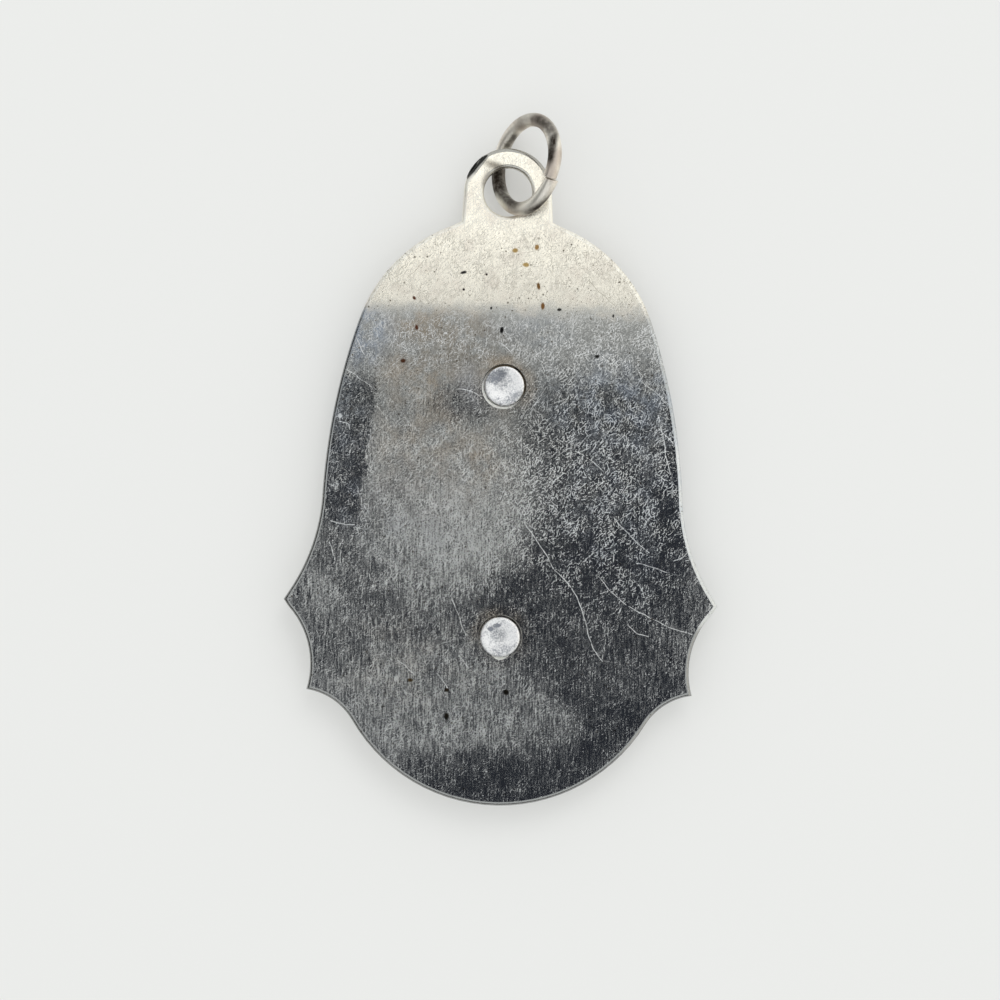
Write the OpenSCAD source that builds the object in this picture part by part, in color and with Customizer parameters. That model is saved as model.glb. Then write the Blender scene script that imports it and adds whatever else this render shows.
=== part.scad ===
// Religious pendant: a stamped metal plate with an eye and a jump ring.
// A cast relief of a praying woman is riveted to its front.
// It lies face down, with the plain back of the plate up.
// Plate heights are measured up from the plate's bottom edge, in millimetres.

/* [Plate] */
// Thickness of the stamped sheet
plate_thickness = 0.9; // [0.8:0.05:1.1]
// Outer radius of the eye at the top of the plate
eye_radius = 3.08; // [2.9:0.02:3.2]
// Radius of the hole through the eye
eye_hole_radius = 1.7; // [1.6:0.02:1.8]
// Height of the eye's centre
eye_height = 42.98; // [42.8:0.02:43.2]

/* [Rivets] */
// Radius of a rivet's peened head
rivet_head_radius = 1.38; // [1.2:0.02:1.5]
// How far a head stands proud of the plate's back
rivet_head_proud = 0.34; // [0.25:0.01:0.45]
// Radius of a rivet's shank
rivet_shank_radius = 0.8; // [0.6:0.05:0.9]
// Height of the lower rivet
lower_rivet_height = 11.83; // [11.6:0.01:12]
// Height of the upper rivet
upper_rivet_height = 29.4; // [29.2:0.01:29.6]

/* [Jump ring] */
// Radius of the ring at the middle of its wire
ring_radius = 3.16; // [3.12:0.02:3.2]
// Radius of the round wire
wire_radius = 0.48; // [0.4:0.01:0.5]
// How far the ring stands up from lying flat, in degrees
ring_tilt = 52.8; // [52:0.2:54]
// How far the ring leans to the right, in degrees
ring_lean = 9; // [8:0.5:11]
// Opening between the ring's two cut ends, in degrees
ring_gap = 2; // [1:0.5:4]
// Where the cut ends meet, in degrees round the ring
ring_cut_angle = -16; // [-24:1:-8]

/* [Relief] */
// Depth of the cast figure in front of the plate
relief_depth = 1.5; // [1.4:0.05:1.55]
// Depth of the drapery folds
fold_depth = 0.12; // [0.06:0.01:0.16]
// Radius of the halo
halo_radius = 4.9; // [4.6:0.1:5]
// Number of rays on the halo
halo_rays = 20; // [12:2:24]

/* [Hidden] */
$fn = 64;
tiny = 0.01;

// Plate outline, right half from the bottom to the crown: x, height, bulge of the arc to the next row.
// A bulge is the arc's rise over its chord, positive outwards and negative where the edge is hollow.
outline = [
    [0, 0, 1.57],         // round bottom
    [10.3, 5.87, -0.42],  // small scallop
    [13.5, 7.93, -0.9],   // large scallop
    [15.2, 14.06, 0.06],  // blunt tip of the side point
    [15.13, 14.36, -0.6], // hollow flare
    [12.6, 22, 0.42],     // long flank
    [10.22, 34.03, 2],    // arched top
    [0, 41.3, 0]
];
arc_steps = 14;
eye_fillet = 0.4;
head_seat_depth = 0.1;
head_seat_clearance = 0.12;
shank_clearance = 0.04;
dish_depth = 0.12;
head_edge_round = 0.14;
shank_reach = 0.7;
blind_hole_depth = 0.75;
figure_gap = 0.02;

// Heights over the surface that the pendant lies on
plate_front_z = relief_depth + figure_gap;
plate_back_z = plate_front_z + plate_thickness;
head_seat_z = plate_back_z - head_seat_depth;

// The arched top is part of one circle, which the last two rows of the outline give.
arch_half_chord = norm([outline[6][0], outline[7][1] - outline[6][1]]) / 2;
arch_radius = (pow(arch_half_chord, 2) + pow(outline[6][2], 2)) / (2 * outline[6][2]);
arch_centre_height = outline[7][1] - arch_radius;

// The ring rests on the same surface and passes through the eye.
ring_x = 1.26;
ring_height = 44.9;
ring_rest_gap = 0.015;
ring_z = ring_radius * sin(ring_tilt) + wire_radius + ring_rest_gap;
ring_reach = ring_radius * sqrt(1 - pow(sin(ring_lean) * sin(ring_tilt), 2)) + wire_radius;

// The origin lies under the middle of the whole length.
middle_height = (ring_height + ring_reach) / 2;

// Points of the arc from a to b that rises by bulge over its chord, without b itself.
function arc_points(a, b, bulge) =
    let (
        chord = b - a,
        half = norm(chord) / 2,
        out = [chord[1], -chord[0]] / norm(chord),
        radius = (half * half + bulge * bulge) / (2 * bulge),
        centre = (a + b) / 2 - out * (radius - bulge),
        half_angle = asin(half / abs(radius)) * sign(bulge),
        mid_direction = out * sign(bulge)
    )
    [for (i = [0 : arc_steps - 1])
        let (turn = half_angle * (2 * i / arc_steps - 1))
        centre + abs(radius) * [
            mid_direction[0] * cos(turn) - mid_direction[1] * sin(turn),
            mid_direction[0] * sin(turn) + mid_direction[1] * cos(turn)
        ]
    ];

function half_outline() = [
    for (row = [0 : len(outline) - 2])
        let (a = outline[row], b = outline[row + 1])
        each arc_points([a[0], a[1]], [b[0], b[1]], a[2])
];

function mirrored(points) = [for (i = [len(points) - 1 : -1 : 1]) [-points[i][0], points[i][1]]];

module plate_outline() {
    half = half_outline();
    crown = [[0, outline[len(outline) - 1][1]]];
    polygon(concat(half, crown, mirrored(half)));
}

// The tab that joins the eye to the arched top, with a small fillet in each corner.
module eye_tab() {
    fillet_x = eye_radius + eye_fillet;
    fillet_height = arch_centre_height + sqrt(pow(arch_radius + eye_fillet, 2) - pow(fillet_x, 2));
    root_height = fillet_height - 3 * eye_fillet;
    toward_arch = arch_radius / (arch_radius + eye_fillet);
    translate([-eye_radius, root_height]) square([2 * eye_radius, eye_height - root_height]);
    for (side = [-1, 1])
        difference() {
            polygon([
                [side * (eye_radius - tiny), root_height],
                [side * (eye_radius - tiny), fillet_height],
                [side * eye_radius, fillet_height],
                [side * fillet_x * toward_arch,
                 arch_centre_height + (fillet_height - arch_centre_height) * toward_arch]
            ]);
            translate([side * fillet_x, fillet_height]) circle(eye_fillet);
        }
}

module rivet_seat(height) {
    translate([0, height, plate_front_z - tiny])
        cylinder(h = plate_thickness + 2 * tiny, r = rivet_shank_radius + shank_clearance);
    translate([0, height, head_seat_z])
        cylinder(h = head_seat_depth + tiny, r = rivet_head_radius + head_seat_clearance);
}

module back_plate() {
    color([0.58, 0.58, 0.57])
        difference() {
            union() {
                translate([0, 0, plate_front_z]) linear_extrude(plate_thickness) plate_outline();
                translate([0, 0, plate_front_z]) linear_extrude(plate_thickness) eye_tab();
                translate([0, eye_height, plate_front_z]) cylinder(h = plate_thickness, r = eye_radius);
            }
            translate([0, eye_height, plate_front_z - tiny])
                cylinder(h = plate_thickness + 2 * tiny, r = eye_hole_radius);
            rivet_seat(lower_rivet_height);
            rivet_seat(upper_rivet_height);
        }
}

// A rivet with a dished head on the back and its shank in the casting.
module rivet(height) {
    head_top = plate_back_z + rivet_head_proud;
    dish_edge = rivet_head_radius - 2 * head_edge_round;
    shank_end = plate_front_z - shank_reach;
    edge = [for (a = [0 : 15 : 90])
        [rivet_head_radius - head_edge_round * (1 - cos(a)), head_top - head_edge_round * (1 - sin(a))]];
    dish = [for (i = [0 : 6]) [dish_edge * (1 - i / 6), head_top - dish_depth * sin(i * 15)]];
    seat = head_seat_z + tiny;
    color([0.83, 0.84, 0.85])
        translate([0, height, 0])
            rotate_extrude()
                polygon(concat(
                    [[0, shank_end], [rivet_shank_radius, shank_end], [rivet_shank_radius, seat],
                     [rivet_head_radius, seat]],
                    edge,
                    dish
                ));
}

// An open ring of round wire, standing askew through the eye.
module jump_ring() {
    color([0.6, 0.56, 0.5])
        translate([ring_x, ring_height, ring_z])
            rotate([0, 0, -ring_lean])
                rotate([0, -ring_tilt, 0])
                    rotate([0, 0, ring_cut_angle + ring_gap / 2])
                        rotate_extrude(angle = 360 - ring_gap)
                            translate([ring_radius, 0]) circle(wire_radius);
}

// Draped forms of the figure are lofts through rows of height, half width and depth.
// They are drawn facing the viewer: x to the right, y up the plate, z out of its front.
// The drawing is deeper than the casting and is pressed to its depth at the end.
drawn_depth = 2.3;
drawn_folds = fold_depth * drawn_depth / relief_depth;
mantle_rows = [
    // height, half width, depth
    [4.7, 6.3, 1.3],
    [6, 6.3, 1.4],
    [10, 5.95, 1.5],
    [15, 5.5, 1.55],
    [19.5, 5.25, 1.6],
    [22.5, 5.6, 1.6],
    [24.6, 5.7, 1.6],
    [27, 5, 1.55],
    [29, 4.35, 1.45],
    [30.3, 3.5, 1.35],
    [31.4, 2.6, 1.2]
];
robe_rows = [
    [4.6, 4.7, 1.95],
    [7, 4.3, 1.95],
    [11, 3.7, 1.9],
    [16, 3.1, 1.85],
    [20, 2.7, 1.8],
    [23.2, 2.3, 1.7],
    [25, 2.3, 1.7],
    [27.4, 2.7, 1.75],
    [29, 2.5, 1.6],
    [30.2, 1.9, 1.4],
    [31, 1.2, 1.2]
];
veil_rows = [
    [29, 4.3, 1.2],
    [30, 3.95, 1.3],
    [31, 3.35, 1.4],
    [32, 2.95, 1.45],
    [33.4, 2.85, 1.5],
    [34.8, 2.65, 1.55],
    [35.8, 2.1, 1.5],
    [36.5, 1.35, 1.25],
    [36.9, 0.5, 0.8]
];
row_step = 1;
section_power = 2.3;

// Half width or depth at a height, eased between the rows of a table.
function ease(t) = t * t * (3 - 2 * t);
function row_value(rows, height, column, i = 0) =
    i >= len(rows) - 2 || height <= rows[i + 1][0]
        ? let (
            span = rows[i + 1][0] - rows[i][0],
            t = min(1, max(0, (height - rows[i][0]) / span)),
            blend = (t + ease(t)) / 2
        )
        rows[i][column] + (rows[i + 1][column] - rows[i][column]) * blend
        : row_value(rows, height, column, i + 1);

// One cross section: a flat-backed arch with folds that deepen towards the hem.
function section(rows, height, steps, folds, depth_of_folds) =
    let (
        bottom = rows[0][0],
        top = rows[len(rows) - 1][0],
        rise = (height - bottom) / (top - bottom),
        half_width = row_value(rows, height, 1),
        depth = row_value(rows, height, 2),
        ripple = depth_of_folds * (1 - 0.85 * rise)
    )
    [for (j = [0 : steps])
        let (
            across = -cos(180 * j / steps),
            arch = pow(max(0, 1 - pow(abs(across), section_power)), 1 / section_power),
            crease = ripple * sqrt(max(0, 1 - across * across)) * cos(180 * folds * across)
        )
        [across * half_width, height, max(0, arch * (depth - ripple) + crease * (arch > 0 ? 1 : 0))]
    ];

module draped(rows, steps, folds, depth_of_folds) {
    bottom = rows[0][0];
    top = rows[len(rows) - 1][0];
    count = ceil((top - bottom) / row_step);
    per_row = steps + 1;
    points = [
        for (i = [0 : count])
            each section(rows, bottom + (top - bottom) * i / count, steps, folds, depth_of_folds)
    ];
    skin = [
        for (i = [0 : count - 1], j = [0 : steps - 1])
            let (a = i * per_row + j)
            each [[a, a + per_row, a + 1], [a + 1, a + per_row, a + per_row + 1]]
    ];
    back = concat(
        [for (i = [0 : count]) i * per_row + steps],
        [for (i = [count : -1 : 0]) i * per_row]
    );
    foot = [for (j = [0 : steps]) j];
    crown = [for (j = [steps : -1 : 0]) count * per_row + j];
    polyhedron(points, concat(skin, [back, foot, crown]));
}

// A rounded rod through points x, y, z, radius: a sleeve, an edge of cloth or a fold.
module rod(path, facets = 12) {
    for (i = [0 : len(path) - 2])
        hull() {
            translate([path[i][0], path[i][1], path[i][2]]) sphere(path[i][3], $fn = facets);
            translate([path[i + 1][0], path[i + 1][1], path[i + 1][2]]) sphere(path[i + 1][3], $fn = facets);
        }
}

module both_sides() {
    children();
    mirror([1, 0, 0]) children();
}

head_height = 33.5;
face_half_width = 1.5;
face_half_height = 2.05;
face_depth = 2.12;
face_centre_z = 1;

module halo() {
    disc = 0.4;
    rim = 0.4;
    rim_height = 0.7;
    ray_root = 2.6;
    ray_half_width = 0.3;
    ray_height = 0.68;
    short_ray = 0.6;
    translate([0, head_height + 0.2, 0]) {
        cylinder(h = disc, r = halo_radius - tiny);
        difference() {
            cylinder(h = rim_height, r = halo_radius);
            translate([0, 0, -tiny]) cylinder(h = rim_height + 2 * tiny, r = halo_radius - rim);
        }
        for (i = [0 : halo_rays - 1])
            rotate([0, 0, 90 + i * 360 / halo_rays])
                hull() {
                    translate([ray_root, -ray_half_width, 0]) cube([0.1, 2 * ray_half_width, ray_height]);
                    translate([halo_radius - rim - (i % 2) * short_ray, -0.05, 0]) cube([0.1, 0.1, disc + 0.1]);
                }
    }
}

// A calm, plain face: an oval with a nose, closed lids, lips and a chin.
module head() {
    translate([0, head_height, face_centre_z])
        scale([face_half_width, face_half_height, face_depth - face_centre_z]) sphere(1, $fn = 28);
    brow = head_height + 0.25;
    rod([[0, brow, 2, 0.12], [0, brow - 0.75, 2.08, 0.21]], 10);
    rod([[-0.28, head_height - 0.98, 1.9, 0.11], [0.28, head_height - 0.98, 1.9, 0.11]], 8);
    rod([[-0.18, head_height - 1.22, 1.84, 0.11], [0.18, head_height - 1.22, 1.84, 0.11]], 8);
    translate([0, head_height - 1.7, 1.5]) sphere(0.32, $fn = 12);
    both_sides() {
        rod([[0.42, brow - 0.18, 1.87, 0.13], [0.82, brow - 0.16, 1.7, 0.1]], 8);
        rod([[0.2, brow + 0.22, 1.98, 0.1], [0.95, brow + 0.16, 1.62, 0.08]], 8);
    }
    rod([[0, 32.2, 0.95, 0.72], [0, 30.8, 0.8, 0.85]], 18);
}

// The veil's edge frames the face and falls over the shoulders to the elbows.
module veil_edge() {
    oval = [for (a = [90 : -22.5 : -22.5])
        [1.78 * cos(a), head_height + 0.1 + 2.35 * sin(a), 1.72, 0.27]];
    fall = [[1.85, 31.2, 1.6, 0.27], [2.5, 29.7, 1.45, 0.26], [3.1, 28, 1.45, 0.25], [3.2, 26.6, 1.5, 0.2]];
    both_sides() rod(concat(oval, fall), 10);
}

// Upper arms, raised forearms and wide sleeves that hang from them.
module arms() {
    shoulder = [3.55, 28.9, 0.75, 0.95];
    elbow = [4.75, 24.7, 0.85, 1.1];
    wrist = [1, 27, 1.55, 0.6];
    sleeve_tip = [2.7, 21.6, 1.35, 0.35];
    both_sides() {
        rod([shoulder, elbow], 14);
        rod([elbow, wrist], 14);
        hull() {
            translate([4.5, 24.5, 1.05]) sphere(0.85, $fn = 14);
            translate([1.35, 26.5, 1.5]) sphere(0.6, $fn = 14);
            translate([sleeve_tip[0], sleeve_tip[1], sleeve_tip[2]]) sphere(sleeve_tip[3], $fn = 14);
            translate([2.9, 24, 1.55]) sphere(0.5, $fn = 14);
        }
    }
}

module hands() {
    palm_z = drawn_depth - 0.45;
    both_sides() {
        rod([[0.4, 26.7, palm_z, 0.45], [0.32, 28, palm_z, 0.4], [0.18, 29.6, palm_z, 0.2]], 12);
        rod([[0.5, 27.2, palm_z + 0.1, 0.22], [0.5, 28.2, palm_z + 0.1, 0.16]], 10);
    }
}

// The mantle's front edges, and the folds that hang from the elbows.
module mantle_edges() {
    front_edge = [
        [2.3, 24.4, 1.5, 0.3], [2.6, 21, 1.5, 0.32], [3.2, 17, 1.45, 0.32],
        [3.8, 12.5, 1.45, 0.34], [4.4, 8, 1.35, 0.36], [4.7, 5, 1.25, 0.36]
    ];
    fold = [[3.9, 23.4, 1.2, 0.22], [4.1, 17, 1.05, 0.32], [4.9, 9, 0.95, 0.36], [5.3, 5.1, 0.85, 0.36]];
    both_sides() {
        rod(front_edge);
        rod(fold);
    }
}

module belt() {
    rod([[-1.95, 23.1, 1.25, 0.24], [-1, 22.9, 1.62, 0.26], [1, 22.9, 1.62, 0.26], [1.95, 23.1, 1.25, 0.24]]);
}

module slab(half_width, low, high, depth, corner) {
    hull()
        for (x = [-1, 1], y = [low + corner, high - corner])
            translate([x * (half_width - corner), y, 0]) cylinder(h = depth, r = corner, $fn = 24);
}

module plinth() {
    slab(6.4, 2.3, 3.6, drawn_depth, 0.3);
    slab(6.1, 3.3, 4.9, drawn_depth - 0.2, 0.25);
}

module shoes() {
    both_sides() rod([[0.85, 5.1, 1.6, 0.42], [1.15, 4.95, 1.82, 0.38]], 10);
}

module figure_form() {
    halo();
    draped(mantle_rows, 36, 9, drawn_folds);
    draped(robe_rows, 28, 7, drawn_folds);
    draped(veil_rows, 18, 0, 0);
    head();
    veil_edge();
    arms();
    hands();
    belt();
    mantle_edges();
    plinth();
    shoes();
}

// The casting is pressed to its depth, turned to face down, and holed for the rivets' shanks.
module madonna_figure() {
    color([0.72, 0.72, 0.71])
        difference() {
            union() {
                translate([0, 0, relief_depth])
                    rotate([0, 180, 0])
                        scale([1, 1, relief_depth / drawn_depth])
                            intersection() {
                                figure_form();
                                translate([-8, 0, 0]) cube([16, 44, drawn_depth]);
                            }
            }
            for (height = [lower_rivet_height, upper_rivet_height])
                translate([0, height, relief_depth - blind_hole_depth])
                    cylinder(h = blind_hole_depth + tiny, r = rivet_shank_radius + shank_clearance);
        }
}

module placed() {
    translate([0, -middle_height, 0]) children();
}

placed() back_plate();
placed() madonna_figure();
placed() rivet(upper_rivet_height);  // rivet_upper
placed() rivet(lower_rivet_height);  // rivet_lower
placed() jump_ring();
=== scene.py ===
import math

import bpy
from mathutils import Matrix, Vector


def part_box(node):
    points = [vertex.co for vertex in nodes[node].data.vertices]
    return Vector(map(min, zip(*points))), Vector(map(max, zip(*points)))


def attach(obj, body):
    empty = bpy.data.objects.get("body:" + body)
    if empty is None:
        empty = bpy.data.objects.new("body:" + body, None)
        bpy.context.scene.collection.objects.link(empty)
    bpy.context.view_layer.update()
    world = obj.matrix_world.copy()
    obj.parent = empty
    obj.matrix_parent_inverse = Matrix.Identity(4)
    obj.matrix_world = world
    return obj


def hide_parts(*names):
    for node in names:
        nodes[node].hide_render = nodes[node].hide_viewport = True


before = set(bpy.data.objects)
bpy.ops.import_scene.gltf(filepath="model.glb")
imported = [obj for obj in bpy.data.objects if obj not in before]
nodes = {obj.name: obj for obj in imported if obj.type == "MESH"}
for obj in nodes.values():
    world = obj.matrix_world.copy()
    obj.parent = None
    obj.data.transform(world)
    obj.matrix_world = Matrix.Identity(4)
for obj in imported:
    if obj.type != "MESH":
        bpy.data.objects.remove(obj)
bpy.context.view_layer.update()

mm = 0.001               # the frame is in metres, and the settings here are in millimetres
scene = bpy.context.scene
scene.view_settings.view_transform = "Standard"
print("frame loaded:", ", ".join(sorted(nodes)))


# Handling pieces

def deselectAll():
    if bpy.context.object and bpy.context.object.mode != "OBJECT":
        bpy.ops.object.mode_set(mode="OBJECT")
    bpy.ops.object.select_all(action="DESELECT")


def activate(piece):
    deselectAll()
    piece.select_set(True)
    bpy.context.view_layer.objects.active = piece


def openMesh(piece, kind="FACE"):
    activate(piece)
    bpy.ops.object.mode_set(mode="EDIT")
    bpy.ops.mesh.select_mode(type=kind)


def closeMesh():
    bpy.ops.object.mode_set(mode="OBJECT")


def middle(piece, item):
    corners = [piece.data.vertices[index].co for index in item.vertices]
    return sum(corners, Vector()) / len(corners) / mm


def keepSelected(piece, kind, test):
    # of what is selected, only what passes the test stays selected
    closeMesh()
    items = {"EDGE": piece.data.edges, "FACE": piece.data.polygons}[kind]
    kept = [item.index for item in items if item.select and test(middle(piece, item), item)]
    for group in (piece.data.vertices, piece.data.edges, piece.data.polygons):
        group.foreach_set("select", [False] * len(group))
    for index in kept:
        items[index].select = True
    bpy.ops.object.mode_set(mode="EDIT")
    bpy.ops.mesh.select_mode(type=kind)
    return len(kept)


def pickFaces(piece, test):
    bpy.ops.mesh.select_mode(type="FACE")
    bpy.ops.mesh.select_all(action="SELECT")
    return keepSelected(piece, "FACE", test)


def pickSharpEdges(piece, test, degrees=40):
    bpy.ops.mesh.select_mode(type="EDGE")
    bpy.ops.mesh.select_all(action="DESELECT")
    bpy.ops.mesh.edges_select_sharp(sharpness=math.radians(degrees))
    return keepSelected(piece, "EDGE", test)


def pickShortEdges(piece, shortest):
    def isShort(point, edge):
        first, second = [piece.data.vertices[index].co for index in edge.vertices]
        return (first - second).length < shortest * mm

    bpy.ops.mesh.select_mode(type="EDGE")
    bpy.ops.mesh.select_all(action="SELECT")
    return keepSelected(piece, "EDGE", isShort)


def fixNormals(piece, mergeDistance=0.002):
    openMesh(piece)
    bpy.ops.mesh.select_all(action="SELECT")
    bpy.ops.mesh.remove_doubles(threshold=mergeDistance * mm)
    bpy.ops.mesh.normals_make_consistent(inside=False)
    closeMesh()


def applyPlace(piece):
    activate(piece)
    bpy.ops.object.transform_apply(location=True, rotation=True, scale=True)


def applyModifier(piece, kind, **settings):
    activate(piece)
    modifier = piece.modifiers.new(kind.title(), kind)
    for name, value in settings.items():
        setattr(modifier, name, value)
    bpy.ops.object.modifier_apply(modifier=modifier.name)


def smoothShading(piece, degrees=35):
    activate(piece)
    bpy.ops.object.shade_smooth_by_angle(angle=math.radians(degrees))
    applyModifier(piece, "WEIGHTED_NORMAL", keep_sharp=True, weight=80)


def copyOfNode(nodeName, pieceName):
    piece = nodes[nodeName].copy()
    piece.data = nodes[nodeName].data.copy()
    piece.name = pieceName
    piece.parent = None
    piece.matrix_world = Matrix.Identity(4)
    for key in list(piece.keys()):
        del piece[key]
    scene.collection.objects.link(piece)
    fixNormals(piece)
    return piece


def finishPiece(piece, material, replacedNode):
    piece.data.materials.clear()
    piece.data.materials.append(material)
    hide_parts(replacedNode)
    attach(piece, "root")
    print(piece.name, "has", len(piece.data.polygons), "faces")


# Handling node trees

def place(tree, kind, **settings):
    node = tree.nodes.new(kind)
    for name, value in settings.items():
        setattr(node, name, value)
    return node


def feed(tree, socket, value):
    if isinstance(value, bpy.types.NodeSocket):
        tree.links.new(value, socket)
    elif value is not None:
        socket.default_value = value


def calc(tree, operation, *values):
    node = place(tree, "ShaderNodeMath", operation=operation)
    for socket, value in zip(node.inputs, values):
        feed(tree, socket, value)
    return node.outputs[0]


def add(tree, *values):
    total = values[0]
    for value in values[1:]:
        total = calc(tree, "ADD", total, value)
    return total


def times(tree, *values):
    product = values[0]
    for value in values[1:]:
        product = calc(tree, "MULTIPLY", product, value)
    return product


def inverse(tree, value):
    return calc(tree, "SUBTRACT", 1.0, value)


def around(tree, value, amount, centre=0.5):
    # how far a noise is from its centre, made larger or smaller
    return times(tree, calc(tree, "SUBTRACT", value, centre), amount)


def vecCalc(tree, operation, first, second=None):
    node = place(tree, "ShaderNodeVectorMath", operation=operation)
    feed(tree, node.inputs[0], first)
    feed(tree, node.inputs["Scale" if operation == "SCALE" else 1], second)
    return node.outputs["Value" if operation in ("LENGTH", "DOT_PRODUCT") else "Vector"]


def split(tree, vector):
    node = place(tree, "ShaderNodeSeparateXYZ")
    feed(tree, node.inputs[0], vector)
    return node.outputs[0], node.outputs[1], node.outputs[2]


def join(tree, x, y, z=0.0):
    node = place(tree, "ShaderNodeCombineXYZ")
    for socket, value in zip(node.inputs, (x, y, z)):
        feed(tree, socket, value)
    return node.outputs[0]


def ramp(tree, value, low, high, toLow=0.0, toHigh=1.0):
    # the smooth step stays within its ends by itself, and a clamp would need room that Cycles may not have
    node = place(tree, "ShaderNodeMapRange", interpolation_type="SMOOTHSTEP", clamp=False)
    ends = {"Value": value, "From Min": low, "From Max": high, "To Min": toLow, "To Max": toHigh}
    for name, item in ends.items():
        feed(tree, node.inputs[name], item)
    return node.outputs["Result"]


def blend(tree, factor, first, second):
    node = place(tree, "ShaderNodeMix", data_type="FLOAT")
    for index, value in ((0, factor), (2, first), (3, second)):
        feed(tree, node.inputs[index], value)
    return node.outputs[0]


def blendColor(tree, factor, first, second):
    node = place(tree, "ShaderNodeMix", data_type="RGBA")
    for index, value in ((0, factor), (6, first), (7, second)):
        feed(tree, node.inputs[index], value)
    return node.outputs[2]


def noise(tree, vector, scale, detail=2.0, roughness=0.5, distortion=0.0, output="Fac"):
    node = place(tree, "ShaderNodeTexNoise")
    values = {"Vector": vector, "Scale": scale, "Detail": detail, "Roughness": roughness, "Distortion": distortion}
    for name, item in values.items():
        feed(tree, node.inputs[name], item)
    return node.outputs[output]


def turnPattern(tree, vector, degrees=0.0, shift=(0, 0, 0), scale=(1, 1, 1)):
    node = place(tree, "ShaderNodeMapping")
    feed(tree, node.inputs["Vector"], vector)
    node.inputs["Location"].default_value = shift
    node.inputs["Rotation"].default_value = (0, 0, math.radians(degrees))
    node.inputs["Scale"].default_value = scale
    return node.outputs[0]


def newGroup(name, inputs, outputs):
    tree = bpy.data.node_groups.new(name, "ShaderNodeTree")
    kinds = {"vector": "NodeSocketVector", "value": "NodeSocketFloat"}
    for socketName, start in inputs.items():
        kind = "vector" if start is None or isinstance(start, tuple) else "value"
        socket = tree.interface.new_socket(socketName, in_out="INPUT", socket_type=kinds[kind])
        if start is not None:
            socket.default_value = start
    for socketName in outputs:
        tree.interface.new_socket(socketName, in_out="OUTPUT", socket_type=kinds["value"])
    return tree, tree.nodes.new("NodeGroupInput").outputs, tree.nodes.new("NodeGroupOutput").inputs


def useGroup(tree, group, **values):
    node = place(tree, "ShaderNodeGroup", node_tree=group)
    for name, value in values.items():
        feed(tree, node.inputs[name], value)
    return node.outputs[0]


def newMaterial(name):
    material = bpy.data.materials.new(name)
    material.use_nodes = True
    tree = material.node_tree
    shader = tree.nodes["Principled BSDF"]
    coordinates = tree.nodes.new("ShaderNodeTexCoord").outputs["Object"]
    inMm = vecCalc(tree, "SCALE", coordinates, 1 / mm)    # patterns are set out in millimetres
    return material, tree, shader, inMm


def setMetal(tree, shader, color, rough):
    feed(tree, shader.inputs["Base Color"], color)
    feed(tree, shader.inputs["Roughness"], rough)
    shader.inputs["Metallic"].default_value = 1


def setBump(tree, shader, height, strength, distance):
    bump = place(tree, "ShaderNodeBump")
    bump.inputs["Strength"].default_value = strength
    bump.inputs["Distance"].default_value = distance * mm
    feed(tree, bump.inputs["Height"], height)
    feed(tree, shader.inputs["Normal"], bump.outputs[0])


# Camera: straight over the plate, as the photo was taken

camera = {
    "height": 260,               # over the plate's back
    "frameWidth": 70,            # what the frame spans at the plate's back
    "aim": (-0.17, -2.84),
    "roll": 1.03,                # degrees
    "sensor": 36,
}
plateLow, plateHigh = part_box("back_plate")
backZ = plateHigh.z / mm


def addCamera():
    deselectAll()
    bpy.ops.object.camera_add(
        location=(camera["aim"][0] * mm, camera["aim"][1] * mm, (backZ + camera["height"]) * mm),
        rotation=(0, 0, math.radians(camera["roll"])),
    )
    lens = bpy.context.object
    lens.name = "camera"
    lens.data.sensor_width = camera["sensor"]
    lens.data.lens = camera["sensor"] * camera["height"] / camera["frameWidth"]
    lens.data.clip_start = 0.01
    lens.data.clip_end = 10
    lens.data.dof.use_dof = False
    scene.camera = lens


addCamera()
print("camera placed")


# Studio: pale floor, white surroundings, and dark cards that only show as reflections

studio = {
    "floorSize": 3000,
    "floorLevel": -0.02,         # just under the pendant
    "floorColor": (0.50, 0.50, 0.485, 1),
    "floorGlow": (0.30, 0.30, 0.294, 1),   # lifts the shadows, as thick white fur does
    "surroundings": (0.98, 1.0, 1.01, 1),
    "brightness": 1.0,
    "lamp": {"at": (140, 420, 520), "size": 320, "watts": 0.6},
    "sideCards": [
        # centre, size, turn in degrees and colour
        ("leftCard", (-240, 0, 110), (200, 500), (0, 90, 0), (0.05, 0.05, 0.05, 1)),
        ("rightCard", (240, 0, 110), (200, 500), (0, -90, 0), (1.2, 1.17, 1.08, 1)),
        ("frontCard", (0, -260, 90), (500, 120), (90, 0, 0), (0.07, 0.06, 0.05, 1)),
    ],
}

# The overhead card is what the polished back mirrors: dark, then a grey strip, then the white room
overhead = {
    "height": 262,
    "size": (120, 200),
    "front": -112,               # Y where the card begins
    "darkTop": 15.1,             # Y where dark turns grey
    "greyTop": 23.4,             # Y where grey turns white
    "fade": 1.6,                 # how softly one shade turns into the next
    "borderFade": 6.4,
    "dark": (0.024, 0.027, 0.035, 1),
    "grey": (0.158, 0.167, 0.181, 1),
    "white": (1.34, 1.315, 1.235, 1),
}


def addCard(name, centre, size, tilt):
    # a glowing card that only reflections see
    deselectAll()
    bpy.ops.mesh.primitive_plane_add(
        size=1,
        location=[c * mm for c in centre],
        rotation=[math.radians(angle) for angle in tilt],
    )
    card = bpy.context.object
    card.name = name
    card.scale = (size[0] * mm, size[1] * mm, 1)
    for flag in ("visible_camera", "visible_diffuse", "visible_shadow", "visible_transmission"):
        setattr(card, flag, False)
    material = bpy.data.materials.new(name)
    material.use_nodes = True
    tree = material.node_tree
    tree.nodes.clear()
    glow = place(tree, "ShaderNodeEmission")
    out = place(tree, "ShaderNodeOutputMaterial")
    tree.links.new(glow.outputs[0], out.inputs["Surface"])
    card.data.materials.append(material)
    return tree, glow


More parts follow.
